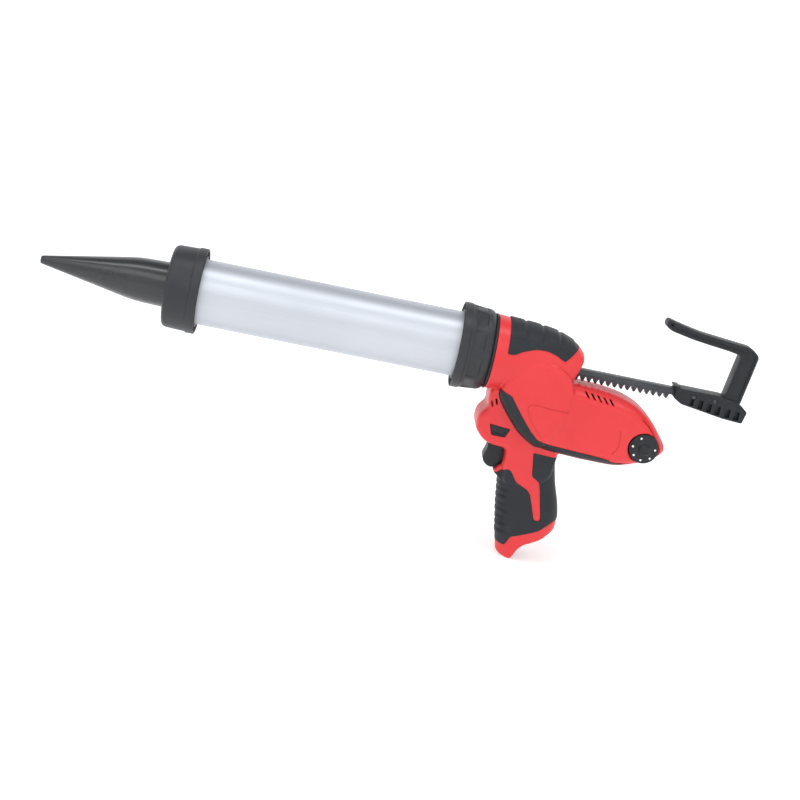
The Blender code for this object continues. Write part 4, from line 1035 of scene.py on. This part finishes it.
    def screw(self) -> bpy.types.Object:
        """One screw with a domed head and a six-lobed drive."""
        profile = [(-10, 0), (-9.4, 1.0), (-9.0, 1.5), (0.3, 1.5), (0.3, 2.7), (0.6, 2.9), (1.4, 2.85), (2.1, 2.4)]
        profile += [(2.45, 1.6), (2.5, 0)]
        screw = Bench.turned("screw", profile, 40, Axis.Y)
        lobes = [
            (math.cos(t) * (1.35 + 0.28 * math.cos(6 * t)), math.sin(t) * (1.35 + 0.28 * math.cos(6 * t)))
            for t in (math.tau * i / 60 for i in range(60))
        ]
        return Bench.work(screw, Bench.slab("drive", lobes, 1.1, 5), Join.CUT)

    def fasten(self) -> None:
        """Puts a screw in every boss."""
        master = self.screw()
        for i, (x, z, seat) in enumerate(self.screws):
            shift = Matrix.Translation(Vector((x, 0, z)) * MM)
            screw = Bench.copied(master, f"shell_screw_{i + 1}", shift)
            points = gun_points(screw)
            points[:, 1] = np.where(points[:, 1] > 0.2, points[:, 1] + seat, points[:, 1])
            move_to(screw, points)
            fit(screw, "body", DARK_STEEL, [f"housing_screw_{i + 1}"], 30)
        bpy.data.objects.remove(master)


# ---- Controls --------------------------------------------------------------------------------------
@dataclass
class Controls:
    """The trigger, the lock button across the housing, and the speed dial."""

    trigger: Outline = field(default_factory=lambda: [
        (12, -73), (19.5, -72.4), (26, -72.9), (29.5, -75.5), (29, -86.5), (25.2, -92.4), (21.4, -96.1),
        (16.8, -95.6), (12.6, -92), (11.6, -88), (13.6, -82), (14, -78)])
    trigger_half: float = 8.5
    lock: Outline = field(default_factory=lambda: [(11, -57), (26.4, -58.4), (24, -64.6), (13.4, -64.6)])
    lock_half: float = 20.6
    dial: Point = (138.1, -50.7)
    dial_rings: int = 24
    dots: tuple[float, ...] = (115, 175, 222, 267, 315, 6)
    dot_ring: float = 9.4

    def make_trigger(self) -> None:
        """The trigger's curved blade with its stem."""
        blade = Bench.slab("trigger_blade", eased(self.trigger, 2.6, 5), -self.trigger_half, self.trigger_half)
        Bench.rounded_edges(blade, 2.0, 5, 60)
        stem = Bench.slab("stem", [(20, -90), (39, -90), (39, -77), (20, -77)], -5, 5)
        Bench.rounded_edges(stem, 0.5, 2)
        Bench.work(blade, stem, Join.ADD)
        fit(blade, "trigger", TRIM, ["trigger"], 35)

    def make_lock(self) -> None:
        """The lock button, with a hollow in each end for a finger."""
        bar = Bench.slab("lock_bar", eased(shrunk(self.lock, -0.5), 1.1, 4), -self.lock_half, self.lock_half)
        Bench.rounded_edges(bar, 0.5, 3, 60)
        for side in (-1, 1):
            low, high = sorted((side * (self.lock_half - 0.7), side * 30))
            hollow = Bench.slab("hollow", eased(shrunk(self.lock, 1.1), 0.8, 3), low, high)
            Bench.work(bar, hollow, Join.CUT)
        fit(bar, "lock", TRIM, ["lock_button"], 35)

    def make_dial(self) -> None:
        """The dial: a coned ring with a notched rim, a raised knob and printed dots."""
        profile = [(-30.0, 0), (-30.0, 3.4), (-29.85, 3.9), (-29.4, 4.3), (-27.9, 4.8), (-27.3, 5.3), (-27.0, 6.0)]
        profile += [(-25.4, 11.7), (-25.1, 12.3), (-24.5, 12.6), (-21.7, 12.6), (-21.7, 2.7), (-11, 2.7), (-11, 0)]
        dial = Bench.turned("dial_knob", profile, 96, Axis.Y, self.dial)
        notch = Bench.turned("notch", [(-28.4, 0), (-28.4, 0.45), (-21, 0.45), (-21, 0)], 10, Axis.Y,
                             (self.dial[0] + 12.75, self.dial[1]))
        cutters = Bench.around("notches", notch, self.dial_rings, at(self.dial[0], 0, self.dial[1]), "Y")
        Bench.work(dial, cutters, Join.CUT)
        fit(dial, "dial", TRIM, ["speed_dial"], 30)
        dots = []
        slope = (25.4 - 27.0) / (11.7 - 6.0)
        for i, angle in enumerate(self.dots):
            turn = math.radians(angle)
            place = (self.dial[0] + math.cos(turn) * self.dot_ring, self.dial[1] + math.sin(turn) * self.dot_ring)
            face = -27.0 - slope * (self.dot_ring - 6.0)
            profile = [(face - 0.22, 0), (face - 0.22, 0.75), (face - 0.14, 0.9), (face + 0.5, 0.9), (face + 0.5, 0)]
            dots.append(Bench.turned(f"dot_{i}", profile, 20, Axis.Y, place))
        fit(Bench.joined("dial_dots", dots), "dial", DOTS, (), 35)

    def build(self) -> None:
        """Makes every control."""
        self.make_trigger()
        self.make_lock()
        self.make_dial()


# ---- What keeps its solid ----------------------------------------------------------------------------
@dataclass
class Works:
    """The drive and the other inner pieces, which keep their solids and get real finishes."""

    finishes: dict[str, Finish] = field(default_factory=lambda: {
        "nozzle_seal": SEAL, "tube_snap_ring": BRIGHT_STEEL, "barrel_adapter": TRIM, "piston": TRIM,
        "piston_washer": BRIGHT_STEEL, "piston_screw": BRIGHT_STEEL, "piston_carrier": DARK_STEEL,
        "handle_pin_1": DARK_STEEL, "handle_pin_2": DARK_STEEL, "control_board": BOARD, "terminal_block": TRIM,
        "trigger_switch": TRIM, "trigger_spring": BRIGHT_STEEL, "dial_potentiometer": TRIM, "motor_can": DARK_STEEL,
        "motor_end_cap": TRIM, "motor_rotor": BRIGHT_STEEL, "gearbox_case": TRIM, "output_bearing": BRIGHT_STEEL,
        "drive_bush_left": BRASS, "drive_bush_right": BRASS, "cross_bush_left": BRASS, "cross_bush_right": BRASS,
    })

    def dress(self) -> None:
        """Gives each kept solid its finish, and cut steel to the gears, shafts and plates."""
        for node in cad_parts:
            obj = bpy.data.objects[node]
            if obj.hide_render:
                continue
            look = self.finishes.get(node, BRIGHT_STEEL)
            for held in obj.material_slots:
                held.material = look.material()
            log.info("%-22s keeps its solid, as %s", node, look.name)


# ---- Floor, lights and camera ------------------------------------------------------------------------
@dataclass
class Studio:
    """A pale sweep, soft lights and the camera."""

    azimuth: float = -3.388
    elevation: float = 13.826
    roll: float = 12.136
    distance: float = 1235.245
    aim: tuple[float, float, float] = (-65.494, 0.0, -56.572)
    lens: float = 66.69
    pale: tuple[float, float, float] = (0.88, 0.88, 0.88)
    glow: float = 0.36
    reach: float = 5.0
    bend: float = 1.2
    height: float = 6.0

    def camera(self) -> None:
        """Stands the camera off the gun's left side, a little above it and rolled."""
        a, e, r = (math.radians(v) for v in (self.azimuth, self.elevation, self.roll))
        back = Vector((math.sin(a) * math.cos(e), -math.cos(a) * math.cos(e), math.sin(e)))
        right = (-back).cross(Vector((0, 0, 1))).normalized()
        up = right.cross(-back)
        across = right * math.cos(r) + up * math.sin(r)
        over = up * math.cos(r) - right * math.sin(r)
        data = bpy.data.cameras.new("camera")
        data.lens, data.sensor_width = self.lens, 36
        obj = bpy.data.objects.new("camera", data)
        bpy.context.scene.collection.objects.link(obj)
        place = at(*self.aim) + back * self.distance * MM
        obj.matrix_world = Matrix.Translation(place) @ Matrix((across, over, back)).transposed().to_4x4()
        bpy.context.scene.camera = obj

    def sweep(self) -> None:
        """A round floor that curves up into a wall on every side."""
        flat = self.reach - self.bend
        profile = [(0.0, 0.0), (flat, 0.0)] + arc((flat, self.bend), self.bend, -80, 0, 8)
        profile.append((self.reach, self.height))
        bpy.ops.object.select_all(action="DESELECT")
        bpy.ops.mesh.primitive_circle_add(vertices=len(profile), radius=0.01, fill_type="NOTHING")
        floor = bpy.context.object
        floor.name = floor.data.name = "floor"
        floor.data.vertices.foreach_set("co", [v for r, z in profile for v in (r, 0.0, z)])
        floor.data.update()
        ends = {0, len(profile) - 1}
        closing = [edge.index for edge in floor.data.edges if set(edge.vertices) == ends]
        Bench.pick(floor)
        bpy.ops.object.mode_set(mode="EDIT")
        bpy.ops.mesh.select_mode(type="EDGE")
        bpy.ops.mesh.select_all(action="DESELECT")
        bpy.ops.object.mode_set(mode="OBJECT")
        for edge in floor.data.edges:
            edge.select = edge.index in closing
        bpy.ops.object.mode_set(mode="EDIT")
        bpy.ops.mesh.delete(type="EDGE")
        bpy.ops.mesh.select_mode(type="VERT")
        bpy.ops.mesh.select_all(action="SELECT")
        bpy.ops.mesh.spin(steps=96, angle=math.tau, center=(0, 0, 0), axis=(0, 0, 1))
        bpy.ops.mesh.select_all(action="SELECT")
        bpy.ops.mesh.remove_doubles(threshold=0.0005)
        bpy.ops.mesh.normals_make_consistent(inside=True)
        bpy.ops.object.mode_set(mode="OBJECT")
        bpy.ops.object.shade_smooth()
        look = Finish("pale_floor", self.pale, tuple(v * 0.985 for v in self.pale), (0.75, 0.85), specular=0.1,
                      grain=(60, 60, 60), bump=0.0, drift=0.8)
        made = look.material()
        shader = made.node_tree.nodes["Principled BSDF"]
        shader.inputs["Emission Color"].default_value = (1, 1, 1, 1)
        shader.inputs["Emission Strength"].default_value = self.glow
        floor.data.materials.append(made)

    def light(self, name: str, place: Vector, aim: Vector, size: Point, power: float) -> None:
        """One soft rectangular light, pointed at a place."""
        data = bpy.data.lights.new(name, "AREA")
        data.shape, data.size, data.size_y = "RECTANGLE", *size
        data.energy = power
        obj = bpy.data.objects.new(name, data)
        bpy.context.scene.collection.objects.link(obj)
        obj.matrix_world = Matrix.Translation(place) @ (place - aim).to_track_quat("Z", "Y").to_matrix().to_4x4()

    def build(self) -> None:
        """Sets the pale surroundings, the lights and the camera."""
        world = bpy.data.worlds.new("surroundings")
        world.use_nodes = True
        world.node_tree.nodes["Background"].inputs["Color"].default_value = (0.93, 0.95, 1.0, 1)
        world.node_tree.nodes["Background"].inputs["Strength"].default_value = 0.38
        bpy.context.scene.world = world
        bpy.context.scene.view_settings.view_transform = "Standard"
        middle = at(-65, 0, -40)
        self.light("key", middle + Vector((-0.5, -1.3, 1.2)), middle, (1.6, 0.8), 6.2)
        self.light("fill", middle + Vector((0.9, -1.5, 0.5)), middle, (0.7, 1.2), 1.2)
        self.light("top", middle + Vector((0.0, -0.25, 1.5)), middle, (2.4, 0.2), 12)
        self.sweep()
        self.camera()


def main() -> None:
    """Builds the gun group by group, dresses what keeps its solid and sets the studio."""
    logging.basicConfig(level=logging.INFO, format="%(message)s")
    housing = Housing()
    for group in (Spout(), Barrel(), PushRod(), housing, Controls()):
        log.info("-- %s", type(group).__name__)
        group.build()
    housing.fasten()
    Works().dress()
    Studio().build()


if __name__ == "__main__":
    main()
